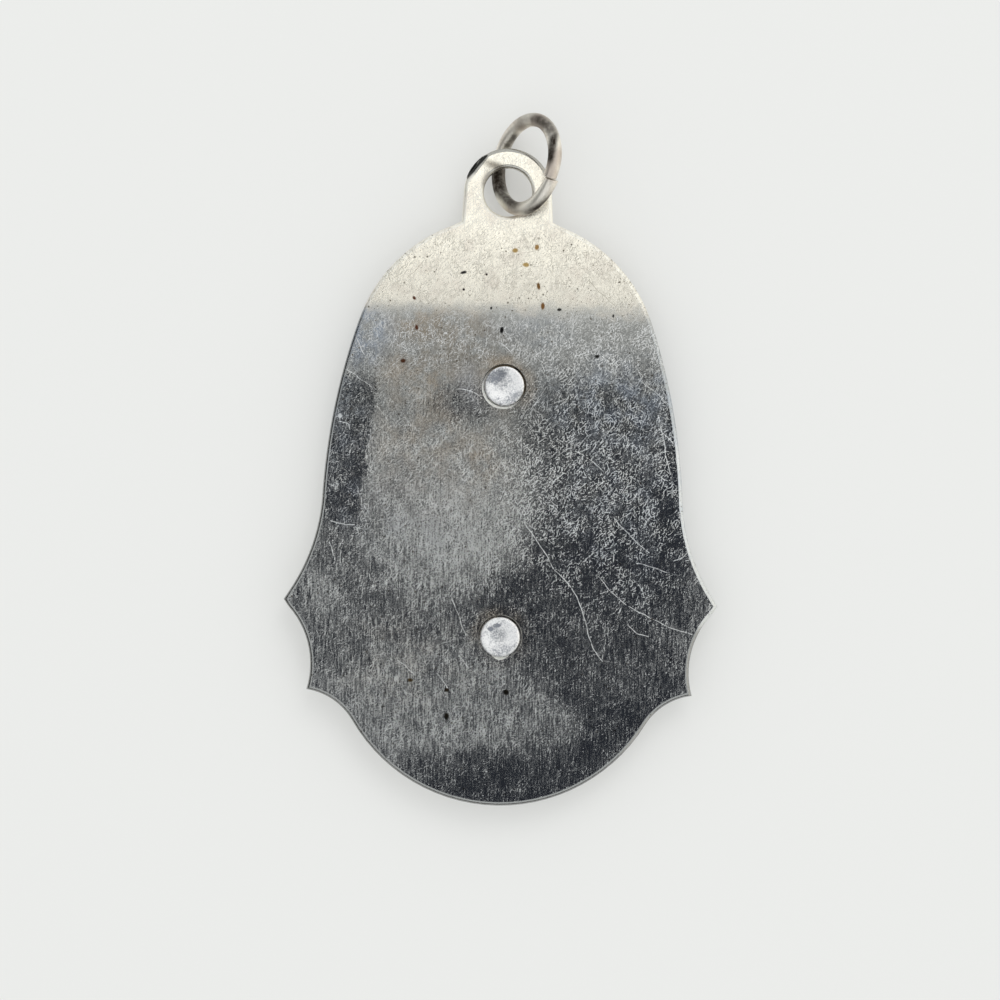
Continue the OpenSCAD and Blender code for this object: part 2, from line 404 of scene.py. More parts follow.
def addOverheadCard():
    width, length = overhead["size"]
    centreY = overhead["front"] + length / 2
    tree, glow = addCard("overheadCard", (0, centreY, overhead["height"]), overhead["size"], (0, 0, 0))
    coordinates = place(tree, "ShaderNodeTexCoord").outputs["Object"]
    x, y, z = split(tree, vecCalc(tree, "MULTIPLY", coordinates, (width, length, 1)))
    fade = overhead["fade"]
    greyShare = ramp(tree, y, overhead["darkTop"] - centreY - fade, overhead["darkTop"] - centreY + fade)
    whiteShare = ramp(tree, y, overhead["greyTop"] - centreY - fade, overhead["greyTop"] - centreY + fade)
    border = overhead["borderFade"]
    sideShare = ramp(tree, calc(tree, "ABSOLUTE", x), width / 2 - border, width / 2)
    frontShare = ramp(tree, y, -length / 2, -length / 2 + border, 1, 0)
    backShare = ramp(tree, y, length / 2 - border, length / 2)
    color = blendColor(tree, greyShare, overhead["dark"], overhead["grey"])
    color = blendColor(tree, whiteShare, color, overhead["white"])
    outside = calc(tree, "MAXIMUM", sideShare, calc(tree, "MAXIMUM", frontShare, backShare))
    feed(tree, glow.inputs["Color"], blendColor(tree, outside, color, studio["surroundings"]))
    glow.inputs["Strength"].default_value = studio["brightness"]


def addStudio():
    deselectAll()
    bpy.ops.mesh.primitive_plane_add(size=studio["floorSize"] * mm, location=(0, 0, studio["floorLevel"] * mm))
    floor = bpy.context.object
    floor.name = "floor"
    material, tree, shader, inMm = newMaterial("paleFloor")
    shader.inputs["Base Color"].default_value = studio["floorColor"]
    shader.inputs["Roughness"].default_value = 0.9
    shader.inputs["Specular IOR Level"].default_value = 0.1
    shader.inputs["Emission Color"].default_value = studio["floorGlow"]
    shader.inputs["Emission Strength"].default_value = 1
    floor.data.materials.append(material)

    world = bpy.data.worlds.new("studio")
    scene.world = world
    world.use_nodes = True
    background = world.node_tree.nodes["Background"]
    background.inputs["Color"].default_value = studio["surroundings"]
    background.inputs["Strength"].default_value = studio["brightness"]

    addOverheadCard()
    for *where, color in studio["sideCards"]:
        tree, glow = addCard(*where)
        glow.inputs["Color"].default_value = color

    deselectAll()
    bpy.ops.object.light_add(type="AREA", location=[c * mm for c in studio["lamp"]["at"]])
    lamp = bpy.context.object
    lamp.name = "softLamp"
    lamp.data.size = studio["lamp"]["size"] * mm
    lamp.data.energy = studio["lamp"]["watts"]
    lamp.rotation_euler = (-lamp.location).to_track_quat("-Z", "Y").to_euler()
    lamp.visible_glossy = False


addStudio()
print("studio placed")


# Wear that several metals share, as node groups

def makeSoftPatch():
    # a mask with a soft edge, round at Square 2 and nearly a rectangle at 8
    tree, given, result = newGroup(
        "softPatch",
        {"Vector": None, "Centre": (0, 0, 0), "Half": (1, 1, 1), "Turn": 0.0, "Square": 2.0, "Edge": 0.3},
        ["Mask"],
    )
    turned = place(tree, "ShaderNodeVectorRotate", rotation_type="Z_AXIS")
    feed(tree, turned.inputs["Vector"], vecCalc(tree, "SUBTRACT", given["Vector"], given["Centre"]))
    feed(tree, turned.inputs["Angle"], given["Turn"])
    away = vecCalc(tree, "ABSOLUTE", vecCalc(tree, "DIVIDE", turned.outputs[0], given["Half"]))
    x = vecCalc(tree, "DOT_PRODUCT", away, (1, 0, 0))
    y = vecCalc(tree, "DOT_PRODUCT", away, (0, 1, 0))
    power = add(tree, calc(tree, "POWER", x, given["Square"]), calc(tree, "POWER", y, given["Square"]))
    reach = calc(tree, "POWER", power, calc(tree, "DIVIDE", 1.0, given["Square"]))
    feed(tree, result["Mask"], ramp(tree, reach, inverse(tree, given["Edge"]), add(tree, 1.0, given["Edge"]), 1, 0))
    return tree


def makeStroke():
    # one long scratch from Start to End, bowed by Bend
    tree, given, result = newGroup(
        "stroke",
        {"Vector": None, "Start": (0, 0, 0), "End": (1, 0, 0), "Bend": 0.0, "Width": 0.06, "Fade": 0.03},
        ["Mask"],
    )
    chord = vecCalc(tree, "SUBTRACT", given["End"], given["Start"])
    heading = vecCalc(tree, "NORMALIZE", chord)
    offset = vecCalc(tree, "SUBTRACT", given["Vector"], given["Start"])
    share = calc(tree, "DIVIDE", vecCalc(tree, "DOT_PRODUCT", offset, heading), vecCalc(tree, "LENGTH", chord))
    sideways = vecCalc(tree, "CROSS_PRODUCT", (0, 0, 1), heading)
    across = vecCalc(tree, "DOT_PRODUCT", offset, sideways)
    last = inverse(tree, share)
    bow = times(tree, given["Bend"], 4.0, share, last)
    distance = calc(tree, "ABSOLUTE", calc(tree, "SUBTRACT", across, bow))
    line = ramp(tree, distance, times(tree, given["Width"], 0.2), given["Width"], 1, 0)
    ends = times(tree, ramp(tree, share, 0.0, given["Fade"]), ramp(tree, last, 0.0, given["Fade"]))
    feed(tree, result["Mask"], times(tree, line, ends))
    return tree


def makeWisps():
    # hair-fine scratches that run mostly one way, broken into short lengths
    tree, given, result = newGroup(
        "wisps",
        {"Vector": None, "Scale": 1.0, "Stretch": 3.0, "Angle": 0.0, "Width": 0.06, "Breaks": 0.5},
        ["Mask"],
    )
    turned = place(tree, "ShaderNodeVectorRotate", rotation_type="Z_AXIS")
    feed(tree, turned.inputs["Vector"], given["Vector"])
    feed(tree, turned.inputs["Angle"], given["Angle"])
    along = calc(tree, "DIVIDE", given["Scale"], given["Stretch"])
    drawn = vecCalc(tree, "MULTIPLY", turned.outputs[0], join(tree, given["Scale"], along, given["Scale"]))
    value = noise(tree, drawn, 1.0, detail=1.0, distortion=0.15)
    line = ramp(tree, calc(tree, "ABSOLUTE", calc(tree, "SUBTRACT", value, 0.5)), 0.0, given["Width"], 1, 0)
    breaks = noise(tree, vecCalc(tree, "ADD", drawn, (17.3, 5.1, 2.7)), 0.9, detail=1.0)
    shown = ramp(tree, breaks, given["Breaks"], add(tree, given["Breaks"], 0.06))
    feed(tree, result["Mask"], times(tree, line, shown))
    return tree


def makeNicks():
    # a short straight nick in some of the cells of a pattern, each turned its own way
    tree, given, result = newGroup(
        "nicks",
        {"Vector": None, "Cells": 1.0, "Length": 0.4, "Width": 0.05, "Spread": 1.0, "Share": 0.6},
        ["Mask"],
    )
    cells = place(tree, "ShaderNodeTexVoronoi", voronoi_dimensions="2D", feature="F1")
    feed(tree, cells.inputs["Vector"], given["Vector"])
    feed(tree, cells.inputs["Scale"], given["Cells"])
    random = place(tree, "ShaderNodeSeparateColor")
    feed(tree, random.inputs[0], cells.outputs["Color"])
    turned = place(tree, "ShaderNodeVectorRotate", rotation_type="Z_AXIS")
    feed(tree, turned.inputs["Vector"], vecCalc(tree, "SUBTRACT", given["Vector"], cells.outputs["Position"]))
    feed(tree, turned.inputs["Angle"], times(tree, around(tree, random.outputs[0], math.pi), given["Spread"]))
    away = vecCalc(tree, "ABSOLUTE", turned.outputs[0])
    x = vecCalc(tree, "DOT_PRODUCT", away, (1, 0, 0))
    y = vecCalc(tree, "DOT_PRODUCT", away, (0, 1, 0))
    length = times(tree, given["Length"], add(tree, 0.3, random.outputs[1]))
    line = ramp(tree, x, times(tree, given["Width"], 0.3), given["Width"], 1, 0)
    ends = ramp(tree, y, times(tree, length, 0.5), length, 1, 0)
    kept = calc(tree, "LESS_THAN", random.outputs[2], given["Share"])
    strength = add(tree, 0.35, times(tree, random.outputs[1], 0.65))
    feed(tree, result["Mask"], times(tree, line, ends, kept, strength))
    return tree


def makeSpecks():
    # small round specks, one in some of the cells of a pattern
    tree, given, result = newGroup(
        "specks",
        {"Vector": None, "Cells": 1.0, "Radius": 0.08, "Share": 0.5},
        ["Mask"],
    )
    cells = place(tree, "ShaderNodeTexVoronoi", voronoi_dimensions="2D", feature="F1")
    feed(tree, cells.inputs["Vector"], given["Vector"])
    feed(tree, cells.inputs["Scale"], given["Cells"])
    random = place(tree, "ShaderNodeSeparateColor")
    feed(tree, random.inputs[0], cells.outputs["Color"])
    distance = vecCalc(tree, "LENGTH", vecCalc(tree, "SUBTRACT", given["Vector"], cells.outputs["Position"]))
    radius = times(tree, given["Radius"], add(tree, 0.4, random.outputs[1]))
    spot = ramp(tree, distance, times(tree, radius, 0.4), radius, 1, 0)
    feed(tree, result["Mask"], times(tree, spot, calc(tree, "LESS_THAN", random.outputs[2], given["Share"])))
    return tree


softPatch = makeSoftPatch()
stroke = makeStroke()
wisps = makeWisps()
nicks = makeNicks()
specks = makeSpecks()


def patchMask(tree, vector, centre, half, turn=0, square=2, edge=0.3):
    return useGroup(tree, softPatch, Vector=vector, Centre=(*centre, 0), Half=(*half, 1), Turn=math.radians(turn),
                    Square=square, Edge=edge)


def strokeMask(tree, vector, start, finish, bend, width, fade=0.03):
    return useGroup(tree, stroke, Vector=vector, Start=(*start, 0), End=(*finish, 0), Bend=bend, Width=width,
                    Fade=fade)


def drift(tree, vector, scale, detail, roughness, reach):
    # the pattern pushed about in its plane, so that what is drawn on it gets uneven edges
    pushed = noise(tree, vector, scale, detail=detail, roughness=roughness, output="Color")
    pushed = vecCalc(tree, "MULTIPLY", vecCalc(tree, "SUBTRACT", pushed, (0.5, 0.5, 0.5)), (1, 1, 0))
    return vecCalc(tree, "ADD", vector, vecCalc(tree, "SCALE", pushed, reach))


# Back plate: the CAD plate with its stamped edges rounded over and a ground facet on the eye

backPlate = {
    "backRound": 0.26,           # rounding of the outline at the back
    "frontRound": 0.15,
    "eyeRound": 0.24,
    "seatRound": 0.07,
    "shortest": 0.06,            # shorter edges of the outline, as at the tips of the cusps, are merged to a point
    "eye": (0, 18.722),
    "eyeReach": 2.4,             # the eye hole's edges lie within this of its centre
    "rivets": [(0, 5.142), (0, -12.428)],
    "seatReach": 1.7,
    "neckAt": 16.6,              # only what is above this Y is cut by the facet
    "facetAt": (-2.114, 20.433, 2.42),
    "facetNormal": (-0.47, 0.38, 0.79),
    "metal": (1.0, 0.975, 0.89, 1),
    "bare": (0.95, 0.965, 0.97, 1),      # fresh metal in the scratches
    "filmAndShade": (0.735, 0.748, 0.735, 1),    # the thin grey film below the tide line, partly painted dark reflection
    "hazeAndShade": (0.435, 0.452, 0.45, 1),     # thicker, darker film just under the line, partly painted shade
    "tideLine": 10.4,            # Y where bare metal turns into film, and half the width of that change
    "tideFade": 0.9,
    "brown": (0.50, 0.41, 0.31, 1),
    "steel": (0.47, 0.54, 0.65, 1),
    "shade": (0.34, 0.32, 0.28, 1),
    # bright colour of the painted highlight on the seats' lower edges
    "highlightColor": (1.0, 1.0, 0.98, 1),
    # dark dirt for the specks, and the painted shade in the seats' gaps and at the eye hole
    "grimeAndShade": (0.10, 0.08, 0.055, 1),
    "hollows": (0.22, 0.23, 0.24, 1),    # of the grain, and painted shade over the band under the tide line
    "clouds": (0.80, 0.73, 0.66, 1),     # faint stains in the pale top
    "etched": (0.30, 0.27, 0.21, 1),     # its fine marks
    "tarnishAndShade": (0.09, 0.09, 0.083, 1),   # of the rim: painted shade round it, except on the right flank and the shoulders
    # near black on the ground facet: painted dark reflection
    "facetShade": (0.03, 0.032, 0.03, 1),
    "cleanRoughness": 0.085,
    "wornRoughness": 0.265,
    "roughest": 0.5,
    "smoothest": 0.06,
    "wear": 0.20,                # how worn it is where no patch says otherwise
    "cloudWear": 0.8,            # how much each of the three noises moves the wear
    "grainWear": 1.5,
    "brushWear": (1.05, 1.95),   # everywhere, and more on the lower part
    "scuffs": {"centre": (7.0, -1.5), "half": (6.6, 9.0), "edge": 0.5},    # where the fine marks crowd
    "calmWear": 0.24,            # added to the wear outside the scuffs, and in them
    "scuffedWear": -0.08,
    # hairs: scale, angle and how broken they are
    "hairs": [(5.5, 0.06, 0.48), (4.2, 0.75, 0.5), (4.4, -0.65, 0.5)],
    "hairStrength": (0.3, 0.14),         # everywhere, and more where scuffed
    # nicks: turn and shift of the pattern, cells to the mm, length, width, spread of directions and share of the
    # cells; then the strength everywhere, more where scuffed, and more on the lower part
    "nicks": {
        "short": (0, (0, 0, 0), 3.5, 0.2, 0.036, 0.9, 0.9, (0.8, 1.05, -0.5)),
        "long": (38, (2, 9, 0), 1.15, 0.6, 0.03, 0.45, 0.8, (0.8, 1.1, -0.2)),
        "fine": (35, (3, 7, 0), 5.4, 0.15, 0.038, 0.6, 0.85, (1.0, 0.95, -0.2)),
    },
    "scratchWidth": 0.038,
    "scratchStrength": 2.2,
    "darkWidth": 0.035,
    "dirt": [(1.3, 0.075, 0.42), (3.1, 0.04, 0.5)],    # specks of it: cells to the mm, radius, share of the cells
    # painted highlight on the lower edge of each seat: which way, from where, shift of the bright round, to where,
    # and how far round; and how strong the painted shade is in the gap on the upper side
    "seatHighlights": [
        {"toward": (-0.6, -0.8), "inner": (1.44, 1.47), "shift": 0.158, "outer": (1.49, 1.46), "ends": (0.0, 0.5),
         "seatShade": 1.0},
        {"toward": (0.03, -1.0), "inner": (1.40, 1.43), "shift": 0.87, "outer": (0.75, 0.71), "ends": (0.5, 0.6),
         "seatShade": 0.35},
    ],
    # patches of wear: centre, half size, turn in degrees, squareness, softness, and wear from 0, a mirror, to 1, matt
    "wearPatches": [
        ((0, 16.5), (14, 6.4), 0, 6, 0.12, 0.5),
        ((5.8, 7.3), (4.6, 1.3), 0, 2, 0.5, 0.36),
        ((-4.2, -0.6), (5.4, 9.6), 0, 3, 0.3, 0.46),
        ((-11.15, 0.7), (1.68, 5.3), 8, 8, 0.1, -0.1),
        ((-2.7, 4.0), (2.2, 1.6), 0, 2, 0.5, 0.05),
        ((-2.4, -4.6), (5.4, 3.6), -22, 2, 0.5, 0.7),
        ((6.2, -4.6), (3.6, 2.6), 0, 2, 0.6, 0.24),
        ((1.4, -9.4), (3.0, 1.5), -14, 2, 0.5, 0.0),
        ((-12.3, -9.8), (2.0, 1.3), 60, 2, 0.5, 0.45),
        ((7.5, -12.5), (7.0, 7.5), 20, 2, 0.4, 0.03),
        ((-4.6, -17.6), (7.4, 5.0), 10, 2, 0.45, 0.56),
        ((1.2, -17.4), (4.0, 1.5), 12, 2, 0.6, 0.5),
        ((2.8, -23.2), (9.0, 2.6), 0, 3, 0.45, -0.06),
        ((8.6, -18.2), (1.1, 4.2), 52, 2, 0.5, -0.15),
        ((12.3, -1.4), (1.1, 9), 4, 4, 0.4, -0.1),
    ],
    # tints of the film: centre, half size, softness, strength and colour
    "tintPatches": [
        ((-4.7, 9.3), (3.4, 1.3), 0.5, 0.9, "brown"),
        ((-4.6, 6.6), (4.2, 2.4), 0.6, 0.62, "brown"),
        ((-2.7, 8.1), (3.4, 1.9), 0.6, 1.1, "shade"),
        ((-4.6, 0.5), (4.6, 5.0), 0.6, 0.5, "brown"),
        ((-1.5, -0.4), (1.1, 0.9), 0.6, 0.6, "brown"),
        ((1.6, 12.3), (9.0, 3.0), 0.7, 0.12, "brown"),
        ((-8.3, 12.0), (1.8, 1.6), 0.6, 0.25, "brown"),
        ((-1.6, 15.4), (1.8, 1.0), 0.7, 0.22, "brown"),
        ((-7.0, -14.5), (4.0, 3.0), 0.7, 0.2, "brown"),
        ((-9.9, 8.9), (1.7, 2.2), 0.6, 1.4, "steel"),
        ((8.0, 4.0), (4.6, 2.8), 0.6, 0.7, "steel"),
        ((-2.2, 4.8), (1.8, 1.8), 0.6, 0.5, "steel"),
        ((-10.9, 1.0), (1.7, 5.6), 0.4, 0.5, "steel"),
        ((1.6, 9.2), (2.8, 1.3), 0.6, 0.4, "steel"),
        ((-6.0, -3.6), (4.0, 3.0), 0.7, 0.25, "steel"),
        ((9.0, -3.0), (4.5, 6.0), 0.7, 0.5, "steel"),
    ],
    # pits and stuck dirt: centre, half size and colour
    "pits": [
        ((-3.02, 12.98), (0.21, 0.1), (0.03, 0.03, 0.03)),
        ((-0.22, 9.06), (0.15, 0.21), (0.012, 0.012, 0.012)),
        ((-1.04, 10.56), (0.09, 0.11), (0.03, 0.03, 0.03)),
        ((3.79, 10.58), (0.16, 0.1), (0.04, 0.04, 0.04)),
        ((7.53, 10.2), (0.09, 0.12), (0.05, 0.05, 0.05)),
        ((-3.02, 11.82), (0.09, 0.09), (0.04, 0.03, 0.03)),
        ((-1.39, 12.9), (0.08, 0.09), (0.04, 0.03, 0.03)),
        ((-7.12, 6.79), (0.2, 0.16), (0.1, 0.045, 0.025)),
        ((-6.18, 9.18), (0.12, 0.2), (0.12, 0.05, 0.03)),
        ((-6.38, 11.19), (0.12, 0.12), (0.12, 0.05, 0.03)),
        ((0.57, 14.58), (0.19, 0.14), (0.42, 0.29, 0.12)),
        ((2.08, 14.82), (0.15, 0.2), (0.36, 0.22, 0.09)),
        ((1.33, 13.65), (0.24, 0.15), (0.46, 0.33, 0.14)),
        ((2.29, 12.19), (0.13, 0.23), (0.2, 0.11, 0.04)),
        ((2.52, 10.79), (0.15, 0.25), (0.22, 0.11, 0.04)),
        ((6.42, 7.31), (0.15, 0.12), (0.03, 0.03, 0.03)),
        ((-6.17, -15.61), (0.18, 0.14), (0.12, 0.08, 0.035)),
        ((-3.71, -16.27), (0.16, 0.14), (0.05, 0.035, 0.02)),
        ((-3.68, -18.02), (0.16, 0.24), (0.04, 0.035, 0.025)),
        ((0.49, -16.3), (0.2, 0.2), (0.03, 0.028, 0.02)),
    ],
    # rubbed spots that show pale: centre, half size and strength
    "paleSpots": [
        ((-11.74, -2.0), (0.28, 0.34), 0.45),
        ((-11.48, 2.87), (0.13, 0.16), 1.5),
        ((-4.16, 8.71), (0.1, 0.07), 2.0),
        ((-7.2, -15.5), (0.16, 0.24), 0.6),
    ],
    # scratches: a chain of points, the bow of each stretch, and the strength
    "longScratches": [
        ([(1.52, -4.39), (3.68, -7.67), (5.01, -8.87), (6.38, -12.7), (7.17, -13.98)], [0.07, 0, 0.09, -0.11], 1.0),
        ([(6.75, -8.04), (8.89, -10.1), (13.58, -12.05)], [-0.07, -0.17], 0.85),
        ([(10.75, 3.31), (11.39, 0.52), (11.75, -0.94)], [0.05, 0], 1.2),
        ([(11.2, 2.01), (11.92, 1.32)], [0.03], 1.1),
        ([(11.98, -6.89), (13.1, -6.52)], [0.05], 0.7),
        ([(9.36, -7.05), (11.65, -7.79)], [0.1], 0.8),
        ([(7.81, -3.92), (10.39, -6.33)], [-0.12], 0.75),
        ([(9.3, 5.73), (11.75, 3.88)], [0.05], 0.5),
        ([(-0.51, 8.22), (0.46, 7.44)], [0.05], 0.9),
        ([(8.91, -11.36), (9.62, -12.04), (10.43, -12.17)], [-0.04, -0.04], 0.9),
        ([(9.31, -8.27), (9.92, -9.03)], [0.03], 0.6),
        ([(4.53, 4.6), (3.91, 3.89)], [0.06], 0.6),
        ([(5.02, 0.75), (6.97, -0.79)], [0.08], 0.6),
        ([(11.28, -1.23), (11.02, -1.94)], [0.03], 0.8),
        ([(-10.62, 8.88), (-9.8, 7.07)], [-0.06], 0.7),
        ([(-11.36, 6.24), (-9.24, 4.87)], [0.06], 0.7),
        ([(-3.46, 4.87), (-1.52, 4.2)], [0.3], 0.9),
        ([(-12.1, -4.45), (-10.22, -4.7)], [-0.12], 0.85),
        ([(-12.09, -6.03), (-11.65, -7.25)], [0.06], 0.8),
        ([(-11.54, 2.49), (-10.84, 2.22), (-10.76, 1.87)], [0.04, 0], 1.0),
        ([(-5.15, -2.65), (-4.35, -4.31)], [0.05], 0.45),
        ([(-8.97, 3.65), (-8.15, 2.55)], [0.05], 0.4),
        ([(-3.41, -9.89), (-2.38, -12.46)], [0.03], 0.7),
        ([(-7.18, -14.16), (-5.9, -15.26)], [0.04], 0.6),
        ([(-4.37, -15.0), (-3.64, -16.13)], [0.03], 0.6),
        ([(-2.85, -13.8), (-2.13, -14.6)], [0.03], 0.5),
    ],
    "darkScratches": [           # fine dark marks in the pale top
        ([(5.71, 12.67), (7.75, 10.83)], [-0.06], 0.6),
        ([(-5.9, 13.7), (-6.9, 12.7)], [0.04], 0.5),
        ([(4.9, 16.3), (5.6, 13.4)], [0.4], 0.35),
    ],
    # painted shade at the upper-left rim of the eye hole: centre, half size, turn in degrees and strength
    "eyeShades": [
        ((-0.8, 20.45), (0.95, 0.3), 24, 0.75),
        ((-1.5, 19.6), (0.25, 0.6), 10, 0.5),
    ],
}


def drawScratches(tree, vector, scratches, width):
    # all the strokes of a list as one mask
    drawn = 0.0
    for points, bends, strength in scratches:
        for start, finish, bend in zip(points, points[1:], bends):
            mask = strokeMask(tree, vector, start, finish, bend, width)
            drawn = calc(tree, "MAXIMUM", drawn, times(tree, mask, strength))
    return drawn


def makePlateMetal():
    material, tree, shader, inMm = newMaterial("plateMetal")
    x, y, z = split(tree, inMm)
    flat = join(tree, x, y)
    wavy = drift(tree, flat, 0.5, detail=4, roughness=0.6, reach=2.2)
    wobbly = drift(tree, flat, 0.7, detail=1, roughness=0.5, reach=0.35)

    wear = backPlate["wear"]
    for centre, half, turn, square, edge, patchWear in backPlate["wearPatches"]:
        wear = blend(tree, patchMask(tree, wavy, centre, half, turn, square, edge), wear, patchWear)
    scuffed = patchMask(tree, wavy, **backPlate["scuffs"])
    lower = ramp(tree, y, -10.0, 0.0, 1, 0)
    cloud = noise(tree, flat, 0.55, detail=5, roughness=0.62)
    grain = noise(tree, flat, 9.5, detail=2, roughness=0.7)
    brushed = noise(tree, turnPattern(tree, flat, 1.5, scale=(10, 0.7, 1)), 1.0, detail=3, roughness=0.8)
    brushWear, brushBelow = backPlate["brushWear"]
    wear = add(tree, wear, around(tree, cloud, backPlate["cloudWear"]), around(tree, grain, backPlate["grainWear"]),
               around(tree, brushed, add(tree, brushWear, times(tree, lower, brushBelow))))
    wear = add(tree, wear, times(tree, inverse(tree, scuffed), backPlate["calmWear"]),
               times(tree, scuffed, backPlate["scuffedWear"]))
    wear = calc(tree, "MAXIMUM", wear, -0.15)

    hair = 0.0
    for scale, angle, breaks in backPlate["hairs"]:
        layer = useGroup(tree, wisps, Vector=flat, Scale=scale, Stretch=6.0, Angle=angle, Width=0.085, Breaks=breaks)
        hair = calc(tree, "MAXIMUM", hair, layer)
    patchy = ramp(tree, noise(tree, flat, 0.75, detail=5, roughness=0.65), 0.36, 0.62, 0.28, 1.0)
    everywhere, scuffs = backPlate["hairStrength"]
    marks = times(tree, hair, patchy, add(tree, everywhere, times(tree, scuffed, scuffs)))
    for kind, (turn, shift, cells, length, width, spread, share, strength) in backPlate["nicks"].items():
        layer = useGroup(tree, nicks, Vector=turnPattern(tree, flat, turn, shift), Cells=cells, Length=length,
                         Width=width, Spread=spread, Share=share)
        shown = add(tree, strength[0], times(tree, scuffed, strength[1]), times(tree, lower, strength[2]))
        marks = add(tree, marks, times(tree, layer, patchy, shown))
        if kind == "fine":
            fineNick = layer
    speck = useGroup(tree, specks, Vector=turnPattern(tree, flat, 12, (1, 4, 0)), Cells=2.4, Radius=0.05, Share=0.22)
    streak = ramp(tree, noise(tree, flat, 2.5, detail=2), 0.3, 0.6, 0.45, 1.0)    # long scratches come and go
    scratched = drawScratches(tree, wobbly, backPlate["longScratches"], backPlate["scratchWidth"])
    marks = add(tree, marks, speck, times(tree, scratched, streak, backPlate["scratchStrength"]))
    for centre, half, strength in backPlate["paleSpots"]:
        marks = add(tree, marks, times(tree, patchMask(tree, wobbly, centre, half, edge=0.5), strength))

    span = backPlate["wornRoughness"] - backPlate["cleanRoughness"]
    rough = add(tree, backPlate["cleanRoughness"], times(tree, add(tree, wear, marks), span))
    rough = calc(tree, "MAXIMUM", calc(tree, "MINIMUM", rough, backPlate["roughest"]), backPlate["smoothest"])

    # the tide line: warm bare metal above it, grey film below, partly painted dark reflection where the back mirrors
    # the dark card
    line = add(tree, y, around(tree, cloud, 2.0), around(tree, grain, 0.9))
    low, high = backPlate["tideLine"] - backPlate["tideFade"], backPlate["tideLine"] + backPlate["tideFade"]
    filmAndShade = ramp(tree, line, low, high, 1, 0)
    color = blendColor(tree, filmAndShade, backPlate["metal"], backPlate["filmAndShade"])
    thickFilmShade = times(tree, filmAndShade, ramp(tree, y, 0.0, 4.0), ramp(tree, cloud, 0.25, 0.6, 0.75, 1.0))
    color = blendColor(tree, thickFilmShade, color, backPlate["hazeAndShade"])
    for centre, half, edge, strength, colorName in backPlate["tintPatches"]:
        mask = patchMask(tree, wavy, centre, half, edge=edge)
        shown = times(tree, mask, strength, filmAndShade, ramp(tree, cloud, 0.35, 0.65))
        color = blendColor(tree, shown, color, backPlate[colorName])

    # scratches go through the film to bare metal, and the grain is a little darker in its hollows; the band under the
    # tide line is darkened more, most on the left, as painted shade
    band = ramp(tree, y, 5.5, 8.0)
    through = times(tree, marks, add(tree, 0.3, times(tree, band, 0.8)))
    bared = times(tree, filmAndShade, calc(tree, "MINIMUM", through, 0.85))
    color = blendColor(tree, bared, color, backPlate["bare"])
    bandShade = add(tree, ramp(tree, x, 5.0, -1.0, 0.04, 0.17), times(tree, speck, 0.5))
    hollows = add(tree, ramp(tree, grain, 0.52, 0.3, 0, 0.36), ramp(tree, brushed, 0.5, 0.3, 0, 0.3),
                  times(tree, band, bandShade))
    color = blendColor(tree, times(tree, filmAndShade, hollows), color, backPlate["hollows"])

    # stains, dark hairs and specks that show in the pale top
    pale = ramp(tree, line, low, high)
    color = blendColor(tree, times(tree, pale, ramp(tree, cloud, 0.45, 0.75, 0, 0.55)), color, backPlate["clouds"])
    busy = ramp(tree, y, 15.2, 16.8, 1.0, 0.25)    # the eye and its neck are smoother
    etched = calc(tree, "MAXIMUM", times(tree, hair, patchy, 0.34), times(tree, fineNick, patchy, 0.75))
    darkMarks = drawScratches(tree, wobbly, backPlate["darkScratches"], backPlate["darkWidth"])
    etched = calc(tree, "MAXIMUM", times(tree, busy, etched), darkMarks)
    color = blendColor(tree, times(tree, pale, etched), color, backPlate["etched"])
    for cells, radius, share in backPlate["dirt"]:
        dirt = useGroup(tree, specks, Vector=turnPattern(tree, flat, 50, (6, 2, 0)), Cells=cells, Radius=radius,
                        Share=share)
        crowd = ramp(tree, noise(tree, flat, 0.45, detail=2), 0.38, 0.55, 0.2, 1.0)
        color = blendColor(tree, times(tree, dirt, crowd, busy, 0.85), color, backPlate["grimeAndShade"])
    for centre, half, pitColor in backPlate["pits"]:
        color = blendColor(tree, patchMask(tree, wobbly, centre, half, edge=0.35), color, (*pitColor, 1))

    # brown round the rivet heads, heavier on the upper side; painted shade in the gap on the upper side of each seat,
    # and a painted highlight on each seat's edge on its lower side
    seatHighlightMask = 0.0
    for rivetAt, highlight in zip(backPlate["rivets"], backPlate["seatHighlights"]):
        away = vecCalc(tree, "SUBTRACT", flat, (*rivetAt, 0))
        distance = vecCalc(tree, "LENGTH", away)
        side = calc(tree, "DIVIDE", vecCalc(tree, "DOT_PRODUCT", away, (*highlight["toward"], 0)), distance)
        # brown round the head, heavier on the upper side
        brownNearHead = times(tree, ramp(tree, distance, 1.6, 2.6, 1, 0), ramp(tree, cloud, 0.3, 0.7, 0.2, 0.7))
        color = blendColor(tree, times(tree, brownNearHead, ramp(tree, side, 0.6, -0.4, 0.35, 1)), color, backPlate["brown"])
        # painted shade in the gap on the upper side of the seat
        seatShade = times(tree, ramp(tree, distance, 1.58, 1.50), ramp(tree, side, 0.3, -0.5), highlight["seatShade"])
        color = blendColor(tree, seatShade, color, backPlate["grimeAndShade"])
        moved = vecCalc(tree, "SUBTRACT", away, [part * highlight["shift"] for part in (*highlight["toward"], 0)])
        highlightCrescent = times(tree, ramp(tree, distance, *highlight["inner"]),
                         ramp(tree, vecCalc(tree, "LENGTH", moved), *highlight["outer"]),
                         ramp(tree, side, *highlight["ends"]))
        seatHighlightMask = add(tree, seatHighlightMask, highlightCrescent)
